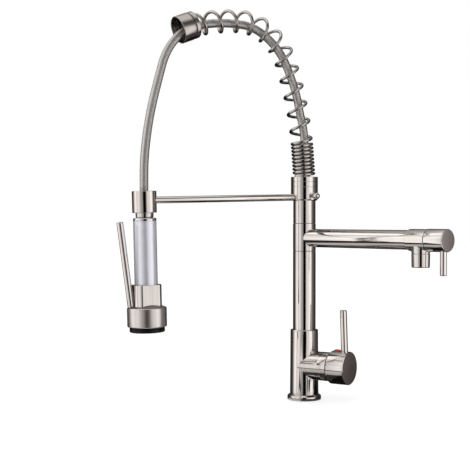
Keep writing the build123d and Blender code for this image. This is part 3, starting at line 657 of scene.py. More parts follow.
def trued(piece: Piece, bores: Sequence[Axes]) -> Piece:
    """Applies a piece's modifiers and gives its round faces the normals of their true cylinders.

    Args:
        piece: The piece.
        bores: The frames whose z axes its cylinders turn about.

    Returns:
        The piece, with straight reflections along its cylinders.
    """
    out_of_round, least_radius, least_lean = 0.05 * MM, MM, 0.97
    mesh = evaluated(piece)
    piece.modifiers.clear()
    piece.data = mesh
    normals = [corner.vector.copy() for corner in mesh.corner_normals]
    for axes in bores:
        inverse = axes.matrix().inverted()
        turn, back = axes.matrix().to_3x3(), inverse.to_3x3()
        places = [(inverse @ vertex.co).to_2d() for vertex in mesh.vertices]
        for face in mesh.polygons:
            facing = (back @ face.normal).to_2d()
            around = [places[index] for index in face.vertices]
            lengths = [place.length for place in around]
            if max(lengths) - min(lengths) > out_of_round or min(lengths) < least_radius:
                continue
            leans = [facing.dot(place.normalized()) for place in around]
            side = 1.0 if leans[0] > 0 else -1.0
            if min(lean * side for lean in leans) < least_lean:
                continue
            for corner in face.loop_indices:
                spoke = places[mesh.loops[corner].vertex_index].normalized() * side
                normals[corner] = turn @ Vector((spoke.x, spoke.y, 0.0))
    mesh.normals_split_custom_set(normals)
    return piece


def register(piece: Piece, node: str, *finishes: Finish) -> Piece:
    """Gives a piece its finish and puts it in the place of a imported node.

    Args:
        piece: The finished piece.
        node: The node it stands for.
        *finishes: Its finishes, in slot order. With none, the ones it has stay.

    Returns:
        The piece.
    """
    if finishes:
        piece.data.materials.clear()
        for finish in finishes:
            piece.data.materials.append(finish.make())
    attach(piece, frame["nodes"][node]["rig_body"])
    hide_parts(node)
    log.info("%s stands for %s, %d faces", piece.name, node, len(piece.data.polygons))
    return piece


def turned(
    name: str,
    node: str,
    axes: Axes,
    outline: Outline,
    *finishes: Finish,
    segments: int = 96,
    ease: float = 0.25,
) -> Piece:
    """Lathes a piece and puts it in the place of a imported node.

    Args:
        name: The piece's name.
        node: The node it stands for.
        axes: The frame it is turned in.
        outline: Corners as (radius, height).
        *finishes: Its finishes, in slot order.
        segments: Faces round the axis.
        ease: The rounding of its edges.

    Returns:
        The piece.
    """
    return register(lathe(name, axes, outline, segments, ease), node, *finishes)


def dress(finish: Finish, *nodes: str) -> None:
    """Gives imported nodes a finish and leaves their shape."""
    material = finish.make()
    for node in nodes:
        shown = frame["nodes"][node]
        if not shown.material_slots:
            shown.data.materials.append(material)
        for slot in shown.material_slots:
            slot.material = material
    log.info("%s on %s", material.name, ", ".join(nodes))


def face_end(piece: Piece, axes: Axes, low: float, high: float) -> None:
    """Gives the faces square to a frame's z axis, between two of its heights, the second material."""
    back, axis = axes.matrix().inverted(), Vector(axes.z).normalized()
    for face in piece.data.polygons:
        if low <= (back @ face.center).z / MM <= high and abs(face.normal.dot(axis)) > 0.9:
            face.material_index = 1


def polyline(points: Sequence[Vector] = (Vector((0, 0, 0)), Vector((0, 0, MM)))) -> Piece:
    """A bare chain of edges for a node tree to grow on."""
    mesh = bpy.data.meshes.new("line")
    mesh.from_pydata(points, [(k, k + 1) for k in range(len(points) - 1)], [])
    return linked("line", mesh)


class NodeRecipe:
    """A Geometry Nodes tree with named inputs, grown once into a plain mesh."""

    KINDS = {float: "NodeSocketFloat", int: "NodeSocketInt", Material: "NodeSocketMaterial"}

    def __init__(self, name: str, **inputs: float | int | Material) -> None:
        """Opens the tree.

        Args:
            name: The tree's name.
            **inputs: Each input's value, by its name with underscores for spaces.
        """
        self.tree = bpy.data.node_groups.new(name, "GeometryNodeTree")
        self.graph = Graph(self.tree)
        self.values: dict[str, object] = {}
        interface = self.tree.interface
        interface.new_socket("Geometry", in_out="INPUT", socket_type="NodeSocketGeometry")
        for title, value in inputs.items():
            kind = self.KINDS[type(value)]
            socket = interface.new_socket(title.replace("_", " "), in_out="INPUT", socket_type=kind)
            self.values[socket.identifier] = value
        interface.new_socket("Geometry", in_out="OUTPUT", socket_type="NodeSocketGeometry")
        self.source = self.tree.nodes.new("NodeGroupInput")

    def __getitem__(self, title: str) -> Value:
        """The value of a named input."""
        return Value(self.graph, self.source.outputs[title])

    def path(self) -> Value:
        """The chain that the tree grows on, as a curve."""
        return self.graph.out("GeometryNodeMeshToCurve", Mesh=self["Geometry"])

    def around(self, path: Value, mode: str, at: Value, reach: Value, angle: Value) -> Value:
        """A point off a curve that lies in the x-z plane.

        Args:
            path: The curve.
            mode: What places the point along it, its LENGTH or FACTOR.
            at: That length or factor.
            reach: The distance from the curve, in metres.
            angle: The angle about it, in radians, from its outer side.

        Returns:
            The point.
        """
        graph, side, title = self.graph, (0.0, 1.0, 0.0), mode.title()
        reading = {"mode": mode, "use_all_curves": True}
        sample = graph.add("GeometryNodeSampleCurve", reading, Curves=path, **{title: at}).outputs
        out = graph.vector("CROSS_PRODUCT", side, sample["Tangent"])
        out = graph.vector("SCALE", out, scale=reach * angle.apply("COSINE"))
        back = graph.vector("SCALE", side, scale=reach * angle.apply("SINE"))
        return graph.vector("ADD", sample["Position"], graph.vector("ADD", out, back))

    def grow(self, name: str, geometry: Value, base: Piece) -> Piece:
        """Ends the tree, runs it and keeps the result as a new plain piece.

        Args:
            name: The piece's name.
            geometry: What the tree has made. Its instances are made real and its material is set.
            base: The object to grow on, which is removed.

        Returns:
            The piece.
        """
        real = self.graph.out("GeometryNodeRealizeInstances", Geometry=geometry)
        self.graph.add(
            "NodeGroupOutput",
            Geometry=self.graph.out("GeometryNodeSetMaterial", Geometry=real, Material=self["Finish"]),
        )
        modifier = base.modifiers.new(self.tree.name, "NODES")
        modifier.node_group = self.tree
        for identifier, value in self.values.items():
            modifier[identifier] = value
        base.update_tag()
        mesh = evaluated(base)
        base.modifiers.remove(modifier)
        bpy.data.objects.remove(base)
        mesh.name = name
        return linked(name, mesh)


class Finishes:
    """Every finish that more than one piece uses."""

    column = BrushedNickel("nickel_column")
    mixer = BrushedNickel("nickel_mixer", MIXER)
    # The mixer's end face is a darker copy of the nickel as painted shade; the spun circles are real.
    mixer_end = SpunNickel("nickel_mixer_end_painted_shade", MIXER, (0.60, 0.52, 0.50))
    pot = BrushedNickel("nickel_pot_filler", POT)
    # The pot filler's end face is a darker copy of the nickel as painted shade; the spun circles are real.
    pot_end = SpunNickel("nickel_pot_filler_end_painted_shade", POT, (0.30, 0.26, 0.25))
    spray = BrushedNickel("nickel_spray", SPRAY)
    rod = BrushedNickel("nickel_rod", ROD, smooth=0.03, rough=0.08)
    # The cup wears a darker copy of the nickel as painted shade.
    cup = BrushedNickel("nickel_cup_painted_shade", CUP, (0.56, 0.52, 0.50), 0.18, 0.28)
    trim = Polished("bright_trim")
    steel = TurnedMetal("turned_steel", DECK, (0.50, 0.50, 0.51))
    brass = TurnedMetal("turned_brass", DECK, (0.62, 0.46, 0.22))
    polymer = Moulding("dark_polymer", DECK, (0.018, 0.018, 0.020))
    shell = Moulding("white_shell", DECK, (0.70, 0.70, 0.67))
    seal = Moulding("black_seal", DECK, (0.012, 0.012, 0.012), Softness.RUBBER)


class Assembly:
    """A group of pieces that is built and dressed together."""

    def build(self) -> None:
        """Builds and dresses the pieces. Every assembly has its own."""
        raise NotImplementedError

    def packed(self, name: str, node: str, finish: Finish, bevel: float, *bores: Axes) -> Piece:
        """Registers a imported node's own shape with broken edges and straight reflections.

        Args:
            name: The piece's name.
            node: The node.
            finish: Its finish.
            bevel: The width that its sharp edges are broken by, or 0.
            *bores: The frames whose z axes its cylinders turn about.

        Returns:
            The piece.
        """
        piece = refined(name, node, bevel)
        return register(trued(piece, bores) if bores else piece, node, finish)


@dataclass
class Column(Assembly):
    """The foot, the riser tubes and the swivelling tee."""

    flange_radius: float = 20.75
    flange_height: float = 6.5
    flange_bore: float = 13.4
    gasket_recess: float = 1.3
    foot_radius: float = 17.6
    tube_radius: float = 14.0
    upper_radius: float = 13.75
    tube_wall: float = 1.6
    spigot: float = 14.0
    spigot_bore: float = 11.8
    sleeve_bore: float = 10.9
    body_top: float = 86.0
    tee_low: float = 182.7
    tee_high: float = 217.3
    top: float = 262.0

    def build(self) -> None:
        """Builds and dresses the column."""
        nickel = Finishes.column
        edge, high = self.flange_radius, self.flange_height
        bore, recess = self.flange_bore, self.gasket_recess
        flange = (
            (bore, recess), (edge - 1.0, recess), (edge - 1.0, 0), (edge, 0), (edge, high - 2.0),
            (edge - 0.6, high - 1.4), (self.foot_radius + 0.3, high), (bore, high),
        )
        turned("flange_disc", "base_flange", DECK, flange, nickel, ease=0.5)
        self.packed("foot_body", "base_body", nickel, 0.2, DECK, MIXER)
        outer, inner, bore = self.tube_radius, self.tube_radius - self.tube_wall, self.spigot_bore
        foot, end, low = self.body_top, self.tee_low, self.body_top - self.spigot
        riser = (
            (bore, low), (inner, low), (inner, foot), (outer, foot), (outer, end), (inner, end),
            (inner, end - self.spigot), (bore, end - self.spigot),
        )
        turned("riser_low", "lower_riser", DECK, riser, nickel, segments=128)
        outer, inner, bore = self.upper_radius, self.upper_radius - self.tube_wall, self.sleeve_bore
        foot, end, high = self.tee_high, self.top, self.tee_high + self.spigot
        riser = ((bore, foot), (outer, foot), (outer, end), (inner, end), (inner, high), (bore, high))
        turned("riser_high", "upper_riser", DECK, riser, nickel, segments=128)
        self.packed("tee_sleeve", "swivel_tee", nickel, 0.15, DECK, POT)
        dress(Finishes.brass, "swivel_spindle")
        dress(Finishes.seal, "base_gasket", "swivel_seals")
        dress(Finishes.polymer, "swivel_washers")


@dataclass
class Mixer(Assembly):
    """The side mixer: cartridge, cap, pin and indicator."""

    ring_radius: float = 17.6
    ring_neck: float = 15.1
    ring_bore: float = 12.6
    cap_radius: float = 20.1
    cap_bore: float = 18.3
    cap_wall: float = 3.0
    cap_start: float = 38.6
    cap_end: float = 62.8
    pin_radius: float = 4.2
    pin_root: float = 3.0
    pin_place: float = 56.4
    pin_top: float = 70.0
    pin_lean: float = math.radians(2.0)

    def build(self) -> None:
        """Builds and dresses the mixer."""
        nickel = Finishes.mixer
        outer, neck, bore = self.ring_radius, self.ring_neck, self.ring_bore
        ring = (
            (bore, 18.8), (neck, 18.8), (neck, 26.55), (outer, 26.55), (outer, 37.0), (outer - 0.7, 37.9),
            (neck, 37.9), (neck, 30.0), (bore, 30.0),
        )
        turned("housing_seam_ring", "housing_ring", MIXER, ring, nickel)
        edge, bore, start, end = self.cap_radius, self.cap_bore, self.cap_start, self.cap_end
        shell = (
            (0, end - self.cap_wall), (bore, end - self.cap_wall), (bore, start), (edge - 1.3, start),
            (edge, start + 1.6), (edge, end - 0.7), (edge - 0.7, end), (0, end),
        )
        finish = (nickel, Finishes.mixer_end)
        cap = turned("mixer_cap_shell", "mixer_cap", MIXER, shell, *finish, segments=128, ease=0.5)
        face_end(cap, MIXER, end - 0.05, end + 0.1)
        aim = Vector(UP) * math.cos(self.pin_lean) - Vector(MIXER.z) * math.sin(self.pin_lean)
        axes = Axes(tuple(MIXER.at(0, 0, self.pin_place)), MIXER.z, tuple(aim))
        r, root, seat, top = self.pin_radius, self.pin_root, self.cap_radius - 1.2, self.pin_top
        pin = ((0, 11.0), (root, 11.0), (root, seat), (r, seat), (r, top - 0.9), (r - 0.9, top), (0, top))
        pin_nickel = BrushedNickel("nickel_mixer_pin", axes, smooth=0.02, rough=0.06)
        turned("mixer_pin_rod", "mixer_pin", axes, pin, pin_nickel, segments=64, ease=0.5)
        blue = Enamel("enamel_blue", DECK, (0.035, 0.075, 0.13))
        red = Enamel("enamel_red", DECK, (0.36, 0.014, 0.010))
        self.packed("button_cold", "indicator_cold", blue, 0)
        self.packed("button_hot", "indicator_hot", red, 0)
        dress(Finishes.shell, "mixing_cartridge", "cartridge_carrier")
        dress(Finishes.brass, "cartridge_nut", "cartridge_stem")
        dress(Finishes.steel, "stem_pin", "cap_screw")


@dataclass
class PotFiller(Assembly):
    """The swinging arm with its own valve, outlet and pin."""

    cap_radius: float = 12.75
    cap_wall: float = 1.6
    cap_start: float = 188.2
    cap_end: float = 213.1
    pin_radius: float = 3.8
    pin_root: float = 2.5
    pin_place: float = 206.9
    pin_length: float = 38.8
    outlet_place: float = 176.4
    outlet_radius: float = 10.4
    outlet_low: float = -30.7
    groove: float = -14.7
    lattice_rim: float = 8.3
    lattice_cell: float = 1.15
    lattice_depth: float = 5.4
    lattice_lift: float = 4.2

    def build(self) -> None:
        """Builds and dresses the arm."""
        nickel = Finishes.pot
        self.packed("arm_tube", "pot_tube", nickel, 0.1, POT)
        outlet = Axes(tuple(POT.at(0, 0, self.outlet_place)), (1, 0, 0), UP)
        self.packed("valve_body", "pot_valve_body", nickel, 0.2, POT, outlet)
        ring = ((10.5, 186.0), (12.7, 186.0), (12.7, 187.6), (10.5, 187.6))
        turned("valve_trim_ring", "pot_trim_ring", POT, ring, Finishes.trim, ease=0.3)
        edge, start, end = self.cap_radius, self.cap_start, self.cap_end
        inner = edge - self.cap_wall
        shell = (
            (0, start + 3.0), (inner, start + 3.0), (inner, start), (edge - 0.3, start), (edge, start + 0.3),
            (edge, end - 0.7), (edge - 0.7, end), (0, end),
        )
        cap = turned("valve_cap", "pot_cap", POT, shell, nickel, Finishes.pot_end, ease=0.4)
        face_end(cap, POT, end - 0.05, end + 0.1)
        down = Axes(tuple(POT.at(0, 0, self.pin_place)), (1, 0, 0), (0, 0, -1))
        r, root, seat, long = self.pin_radius, self.pin_root, self.cap_radius - 0.8, self.pin_length
        pin = ((0, 6.5), (root, 6.5), (root, seat), (r, seat), (r, long - 0.8), (r - 0.8, long), (0, long))
        pin_nickel = BrushedNickel("nickel_valve_pin", down, smooth=0.02, rough=0.06)
        turned("valve_pin", "pot_pin", down, pin, pin_nickel, segments=64, ease=0.4)
        r, low, groove = self.outlet_radius, self.outlet_low, self.groove
        housing = (
            (8.5, low), (r - 0.9, low), (r - 0.3, low + 0.8), (r, groove - 0.9), (r - 0.7, groove - 0.5),
            (r - 0.7, groove), (7.5, groove), (7.5, groove - 3.0), (8.5, groove - 3.0),
        )
        finish = BrushedNickel("nickel_outlet", outlet)
        turned("outlet_housing", "aerator_housing", outlet, housing, finish, ease=0.3)
        self.lattice(outlet)
        dress(Finishes.brass, "pot_headwork", "pot_stem")

    def lattice(self, outlet: Axes) -> None:
        """Grows the aerator's hexagonal lattice inside its rim, in the frame of the outlet."""
        recipe = NodeRecipe(
            "aerator_lattice", Rim_radius=self.lattice_rim * MM, Cell_radius=self.lattice_cell * MM,
            Depth=self.lattice_depth * MM, Cells=9, Finish=Finishes.polymer.make(),
        )
        graph, radius, depth, cells = recipe.graph, recipe["Cell radius"], recipe["Depth"], recipe["Cells"]
        tube, row_share = {"fill_type": "NONE"}, math.sqrt(3) / 2
        cell = graph.out("GeometryNodeMeshCylinder", tube, Vertices=6, Radius=radius * 0.97, Depth=depth)
        pitch = radius * math.sqrt(3)
        span, rise = (cells - 1) * pitch, pitch * row_share
        size = {"Size_X": span, "Size_Y": span * row_share}
        grid = graph.out("GeometryNodeMeshGrid", Vertices_X=cells, Vertices_Y=cells, **size)
        place = graph.out("GeometryNodeInputPosition")
        row = (graph.out("ShaderNodeSeparateXYZ", output="Y", Vector=place) / rise).apply("ROUND")
        shift = row.apply("ABSOLUTE").apply("MODULO", 2.0) * (pitch * 0.5)
        offset = graph.out("ShaderNodeCombineXYZ", X=shift)
        moved = graph.out("GeometryNodeSetPosition", Geometry=grid, Offset=offset)
        inside = graph.vector("LENGTH", place).apply("LESS_THAN", recipe["Rim radius"] - radius)
        comb = graph.out("GeometryNodeInstanceOnPoints", Points=moved, Selection=inside, Instance=cell)
        comb = graph.out("GeometryNodeRotateInstances", Instances=comb, Rotation=(0, 0, math.pi / 6))
        comb = graph.out("GeometryNodeRealizeInstances", Geometry=comb)
        wall = {"Offset_Scale": 0.18 * MM, "Individual": False}
        walls = graph.out("GeometryNodeExtrudeMesh", {"mode": "FACES"}, Mesh=comb, **wall)
        edge = recipe["Rim radius"]
        rim = graph.out("GeometryNodeMeshCylinder", tube, Vertices=64, Radius=edge, Depth=depth)
        piece = recipe.grow("aerator_lattice", graph.join((walls, comb, rim)), polyline())
        piece.data.transform(outlet.moved(0, 0, self.outlet_low + self.lattice_lift).matrix())
        solid = piece.modifiers.new("wall", "SOLIDIFY")
        solid.thickness = 0.16 * MM
        solid.offset = 0
        register(piece, "aerator_insert")


@dataclass
class Dock(Assembly):
    """The collar, the rod and the ring that hold the spray head."""

    ring_radius: float = 14.0
    ring_bore: float = 12.2
    ring_half: float = 12.4
    rod_radius: float = 4.0
    rod_start: float = 12.8
    rod_end: float = 200.6
    knob_radius: float = 4.1
    knob_place: float = 24.2
    knob_arc: float = 137.0
    screw_radius: float = 2.45
    screw_start: float = 13.9
    collar_radius: float = 16.6

    def build(self) -> None:
        """Builds and dresses the dock."""
        self.packed("dock_collar_body", "dock_collar", Finishes.column, 0.2, DECK, CLAMP)
        r, start, end = self.rod_radius, self.rod_start, self.rod_end
        bar = ((0, start), (r, start), (r, end), (0, end))
        turned("dock_rod_bar", "dock_rod", ROD, bar, Finishes.rod, segments=64, ease=0.3)
        r, bore, half = self.ring_radius, self.ring_bore, self.ring_half
        lip, brim = r - 0.4, half - 0.4
        ring = ((bore, -half), (lip, -half), (r, -brim), (r, brim), (lip, half), (bore, half))
        turned("docking_ring", "dock_ring", SPRAY, ring, Finishes.spray, ease=0.4)
        dress(Finishes.polymer, "dock_liner")
        r, thread, start, face = self.knob_radius, self.screw_radius, self.screw_start, self.collar_radius
        arcs = [math.radians(self.knob_arc * (1 - step / 12)) for step in range(13)]
        ball = [(r * math.sin(arc), self.knob_place + r * math.cos(arc)) for arc in arcs]
        stem = [(0, start), (thread, start), (thread, face), (2.8, face)]
        knob_nickel = Polished("knob_nickel", DECK, (0.76, 0.74, 0.71), 0.10, 0.20)
        turned("clamp_knob", "clamp_screw", CLAMP, stem + ball, knob_nickel, segments=64)
        dress(TurnedMetal("dark_steel", DECK, (0.15, 0.14, 0.14)), "hose_adapter")
        dress(Finishes.seal, "adapter_seal")


@dataclass
class Arch(Assembly):
    """The spring arch: its centreline, its wire and the cup at its end."""

    start: tuple[float, float] = (-0.4, 274.2)
    heading: float = 4.4
    straight: float = 27.5
    arcs: tuple[tuple[float, float], ...] = ((405.9, 16.2), (68.0, 72.2), (245.4, 18.7))
    coil_radius: float = 12.15
    wire_radius: float = 1.85
    close_turns: float = 9.0
    open_turns: float = 11.6
    close_pitch: float = 4.46
    open_pitch: float = 21.4
    ramp: float = 0.5
    cup_radius: float = 16.2
    cup_length: float = 15.5
    cup_floor: float = 2.0
    guide_edge: float = 10.7
    ring_seam: float = 1.6
    ring_bore: float = 14.3

    def centreline(self) -> list[Vector]:
        """Points along the arch, about a millimetre apart, in metres."""
        x, z = self.start
        heading = math.radians(self.heading)
        points = [Vector((x, 0, z)) * MM]
        stretches = [(radius * math.radians(turn), 1 / radius) for radius, turn in self.arcs]
        for length, curvature in [(self.straight, 0.0)] + stretches:
            steps = round(length)
            step = length / steps
            for _ in range(steps):
                middle = heading + step * curvature / 2
                x -= step * math.sin(middle)
                z += step * math.cos(middle)
                heading += step * curvature
                points.append(Vector((x, 0, z)) * MM)
        return points

    def wire(self) -> Piece:
        """Grows the spring: one wire wound along the arch, close coils and then open ones."""
        recipe = NodeRecipe(
            "arch_spring_winding", Coil_radius=self.coil_radius * MM, Wire_radius=self.wire_radius * MM,
            Close_turns=self.close_turns, Open_turns=self.open_turns, Close_pitch=self.close_pitch * MM,
            Open_pitch=self.open_pitch * MM, Ramp=self.ramp, Points_per_turn=40,
            Finish=Polished("spring_wire", DECK, (0.62, 0.59, 0.57), 0.03, 0.07).make(),
        )
        graph, ramp, close = recipe.graph, recipe["Ramp"], recipe["Close pitch"]
        radius = recipe["Wire radius"]
        turns = recipe["Close turns"] + recipe["Open turns"]
        count = (turns * recipe["Points per turn"]).apply("ROUND")
        beads = graph.out("GeometryNodeMeshLine", Count=count + 1.0)
        turn = graph.out("GeometryNodeInputIndex") / count * turns
        opened = turn - recipe["Close turns"]
        parting = opened.apply("MAXIMUM", 0.0).apply("MINIMUM", ramp)
        parting = parting * parting / (ramp * 2.0) + (opened - ramp).apply("MAXIMUM", 0.0)
        run = close.apply("MULTIPLY_ADD", turn, radius)
        run = (recipe["Open pitch"] - close).apply("MULTIPLY_ADD", parting, run)
        angle = turn.apply("MULTIPLY_ADD", math.tau, math.pi)
        place = recipe.around(recipe.path(), "LENGTH", run, recipe["Coil radius"], angle)
        wound = graph.out("GeometryNodeSetPosition", Geometry=beads, Position=place)
        strand = graph.out("GeometryNodeMeshToCurve", Mesh=wound)
        section = graph.out("GeometryNodeCurvePrimitiveCircle", Resolution=14, Radius=radius)
        tube = graph.out("GeometryNodeCurveToMesh", Curve=strand, Profile_Curve=section, Fill_Caps=True)
        smooth = graph.out("GeometryNodeSetShadeSmooth", Geometry=tube)
        return recipe.grow("arch_spring_wire", smooth, polyline(self.centreline()))

    def build(self) -> None:
        """Builds and dresses the arch."""
        register(self.wire(), "arch_spring")
        r, end, guide = self.cup_radius, -self.cup_length, self.guide_edge
        floor, inner = end + self.cup_floor, r - 1.4
        cup = (
            (guide, end), (r - 0.8, end), (r, end + 0.8), (r, -0.5), (r - 0.4, 0), (inner, 0), (inner, floor),
            (guide, floor),
        )
        turned("spring_cup_shell", "spring_cup", CUP, cup, Finishes.cup, ease=0.3)
        rear, bore, neck = end - self.ring_seam, self.ring_bore, r - 2.4
        ring = (
            (bore, rear - 5), (r - 0.6, rear - 5), (r - 0.2, rear - 4.5), (r - 0.2, rear - 0.5),
            (r - 1.2, rear), (neck, rear), (neck, end), (guide, end), (guide, rear - 1), (bore, rear - 1),
        )
        turned("spring_rear_ring", "spring_retainer", CUP, ring, Finishes.cup, ease=0.3)
        dress(Finishes.polymer, "hose_guide")


@dataclass
class Hose(Assembly):
    """The braided hose, one line from its ferrule over the arch to the spray's nut."""

    inside: Outline = (
        (0.0, 312.0), (0.0, 328.0), (-6.5, 351.5), (-12.0, 376.5), (-21.5, 400.0), (-33.0, 422.5),
        (-52.0, 441.0), (-74.5, 453.0), (-101.0, 454.5), (-127.0, 452.5),
    )
    outside: Outline = ((-160.5, 445.5), (-187.0, 418.5), (-198.0, 381.0), (-208.5, 340.5), (-215.0, 296.0))
    radius: float = 5.0
    strands: int = 12
    pitch: float = 27.0
    lift: float = 0.16
    step: float = 0.45
    core_gap: float = 0.42
    leaves_at: float = -142.1

    def line(self) -> list[Vector]:
        """The hose's centreline, read from the NURBS spline of its route."""
        ends = [tuple(SPRAY.at(0, 0, 18.4)), tuple(SPRAY.at(0, 0, 2.0))]
        route = [(x * MM, 0.0, z * MM) for x, z in self.inside + self.outside] + ends
        curve = bpy.data.curves.new("hose_route", "CURVE")
        curve.dimensions = "3D"
        curve.resolution_u = 24
        spline = curve.splines.new("NURBS")
        spline.points.add(len(route) - 1)
        for point, place in zip(spline.points, route):
            point.co = (*place, 1.0)
        spline.order_u = 3
        spline.use_endpoint_u = True
        holder = linked("hose_route", curve)
        mesh = evaluated(holder)
        points = [vertex.co.copy() for vertex in mesh.vertices]
        bpy.data.objects.remove(holder)
        bpy.data.meshes.remove(mesh)
        return points

    def strand_set(self, recipe: NodeRecipe, path: Value, side: float) -> Value:
        """One of the braid's two sets of flat strands.

        Args:
            recipe: The braid's tree.
            path: The centreline as a curve.
            side: Which way the strands wind, 1 or -1.

        Returns:
            Their geometry.
        """
        graph, strands, lift = recipe.graph, recipe["Strands"], recipe["Lift"]
        length = graph.out("GeometryNodeCurveLength", Curve=path)
        samples, lanes = (length / recipe["Step"]).apply("ROUND"), strands * 4.0
        size = {"Size_X": 1.0, "Size_Y": 1.0, "Vertices_X": samples, "Vertices_Y": lanes}
        parts = graph.add("ShaderNodeSeparateXYZ", Vector=graph.out("GeometryNodeInputPosition")).outputs
        along, over = graph.math("ADD", parts["X"], 0.5), graph.math("ADD", parts["Y"], 0.5)
        lane = (over * (lanes - 1.0)).apply("ROUND")
        strand = ((lane + 0.01) / 4.0).apply("FLOOR")
        edge = (lane - strand * 4.0) / 3.0
        run = along * length + recipe["Phase"]
        wave, share = run / recipe["Pitch"] * math.tau, graph.math("DIVIDE", math.tau, strands)
        angle = strand.apply("MULTIPLY_ADD", share, wave * side)
        angle = (edge - 0.5).apply("MULTIPLY_ADD", share * 0.96, angle)
        drop = (edge - 0.5).apply("ABSOLUTE").apply("GREATER_THAN", 0.3) * (0.30 * MM)
        weave = (wave * strands).apply("COSINE") * side * lift
        place = recipe.around(path, "FACTOR", along, recipe["Radius"] + weave - drop - lift, angle)
        lay = graph.out("ShaderNodeCombineXYZ", X=run, Y=edge, Z=strand * side)
        flat = graph.out("GeometryNodeMeshGrid", **size)
        for title, kind, value in (("lay", "FLOAT_VECTOR", lay), ("strand", "FLOAT", strand)):
            keeping = {"data_type": kind, "domain": "POINT"}
            stored = {"Geometry": flat, "Name": title, "Value": value}
            flat = graph.out("GeometryNodeStoreNamedAttribute", keeping, **stored)
        laid = graph.out("GeometryNodeSetPosition", Geometry=flat, Position=place)
        number, face = {"data_type": "FLOAT"}, {"domain": "FACE"}
        named = graph.out("GeometryNodeInputNamedAttribute", number, Name="strand")
        middle = graph.out("GeometryNodeFieldOnDomain", number | face, Value=named)
        between = (middle + 0.005).apply("FRACT").apply("GREATER_THAN", 0.05)
        return graph.out("GeometryNodeDeleteGeometry", face, Geometry=laid, Selection=between)

    def braid(self, name: str, points: Sequence[Vector], finish: Finish, phase: float) -> Piece:
        """Grows a stretch of braid: a core with two crossing sets of flat strands.

        Args:
            name: The piece's name.
            points: The centreline.
            finish: The strands' finish.
            phase: The run already used, in metres, so that two stretches join.

        Returns:
            The braided piece.
        """
        recipe = NodeRecipe(
            "hose_braid", Radius=self.radius * MM, Strands=self.strands, Pitch=self.pitch * MM,
            Lift=self.lift * MM, Step=self.step * MM, Phase=phase, Finish=finish.make(),
        )
        graph, path = recipe.graph, recipe.path()
        core_radius = recipe["Radius"] - self.core_gap * MM
        section = graph.out("GeometryNodeCurvePrimitiveCircle", Resolution=24, Radius=core_radius)
        spine = graph.out("GeometryNodeResampleCurve", Curve=path, Count=160)
        core = graph.out("GeometryNodeCurveToMesh", Curve=spine, Profile_Curve=section, Fill_Caps=True)
        sets = [self.strand_set(recipe, path, side) for side in (1.0, -1.0)]
        smooth = graph.out("GeometryNodeSetShadeSmooth", Geometry=graph.join((*sets, core)))
        return recipe.grow(name, smooth, polyline(points))

    def build(self) -> None:
        points = self.line()
        split = next(k for k, point in enumerate(points) if point.x < self.leaves_at * MM)
        inner, outer = points[: split + 1], points[split:]
        run, free = (sum((b - a).length for a, b in zip(part, part[1:])) for part in (inner, outer))
        wire = BraidWire("braid_wire")
        register(self.braid("hose_in_arch", inner, wire, 0.0), "hose_inner")
        tail = self.braid("hose_hanging", outer, wire, run)
        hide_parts("hose_free")
        start, end = tuple(outer[len(outer) // 5]), tuple(SPRAY.at(0, 0, 13.0))
        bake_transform(tail)
        log.info("hose inside %.1f mm, outside %.1f mm", run / MM, free / MM)
        crimp = (
            (4.7, 298.0), (5.6, 298.0), (5.6, 301.4), (5.3, 302.0), (5.3, 303.2), (5.6, 303.8), (5.6, 306.2),
            (5.3, 306.8), (5.3, 308.0), (5.6, 308.6), (5.6, 311.4), (5.0, 312.0), (4.7, 312.0),
        )
        turned("hose_crimp", "hose_ferrule", DECK, crimp, Finishes.steel, segments=64)
        dress(Finishes.steel, "hose_nut")


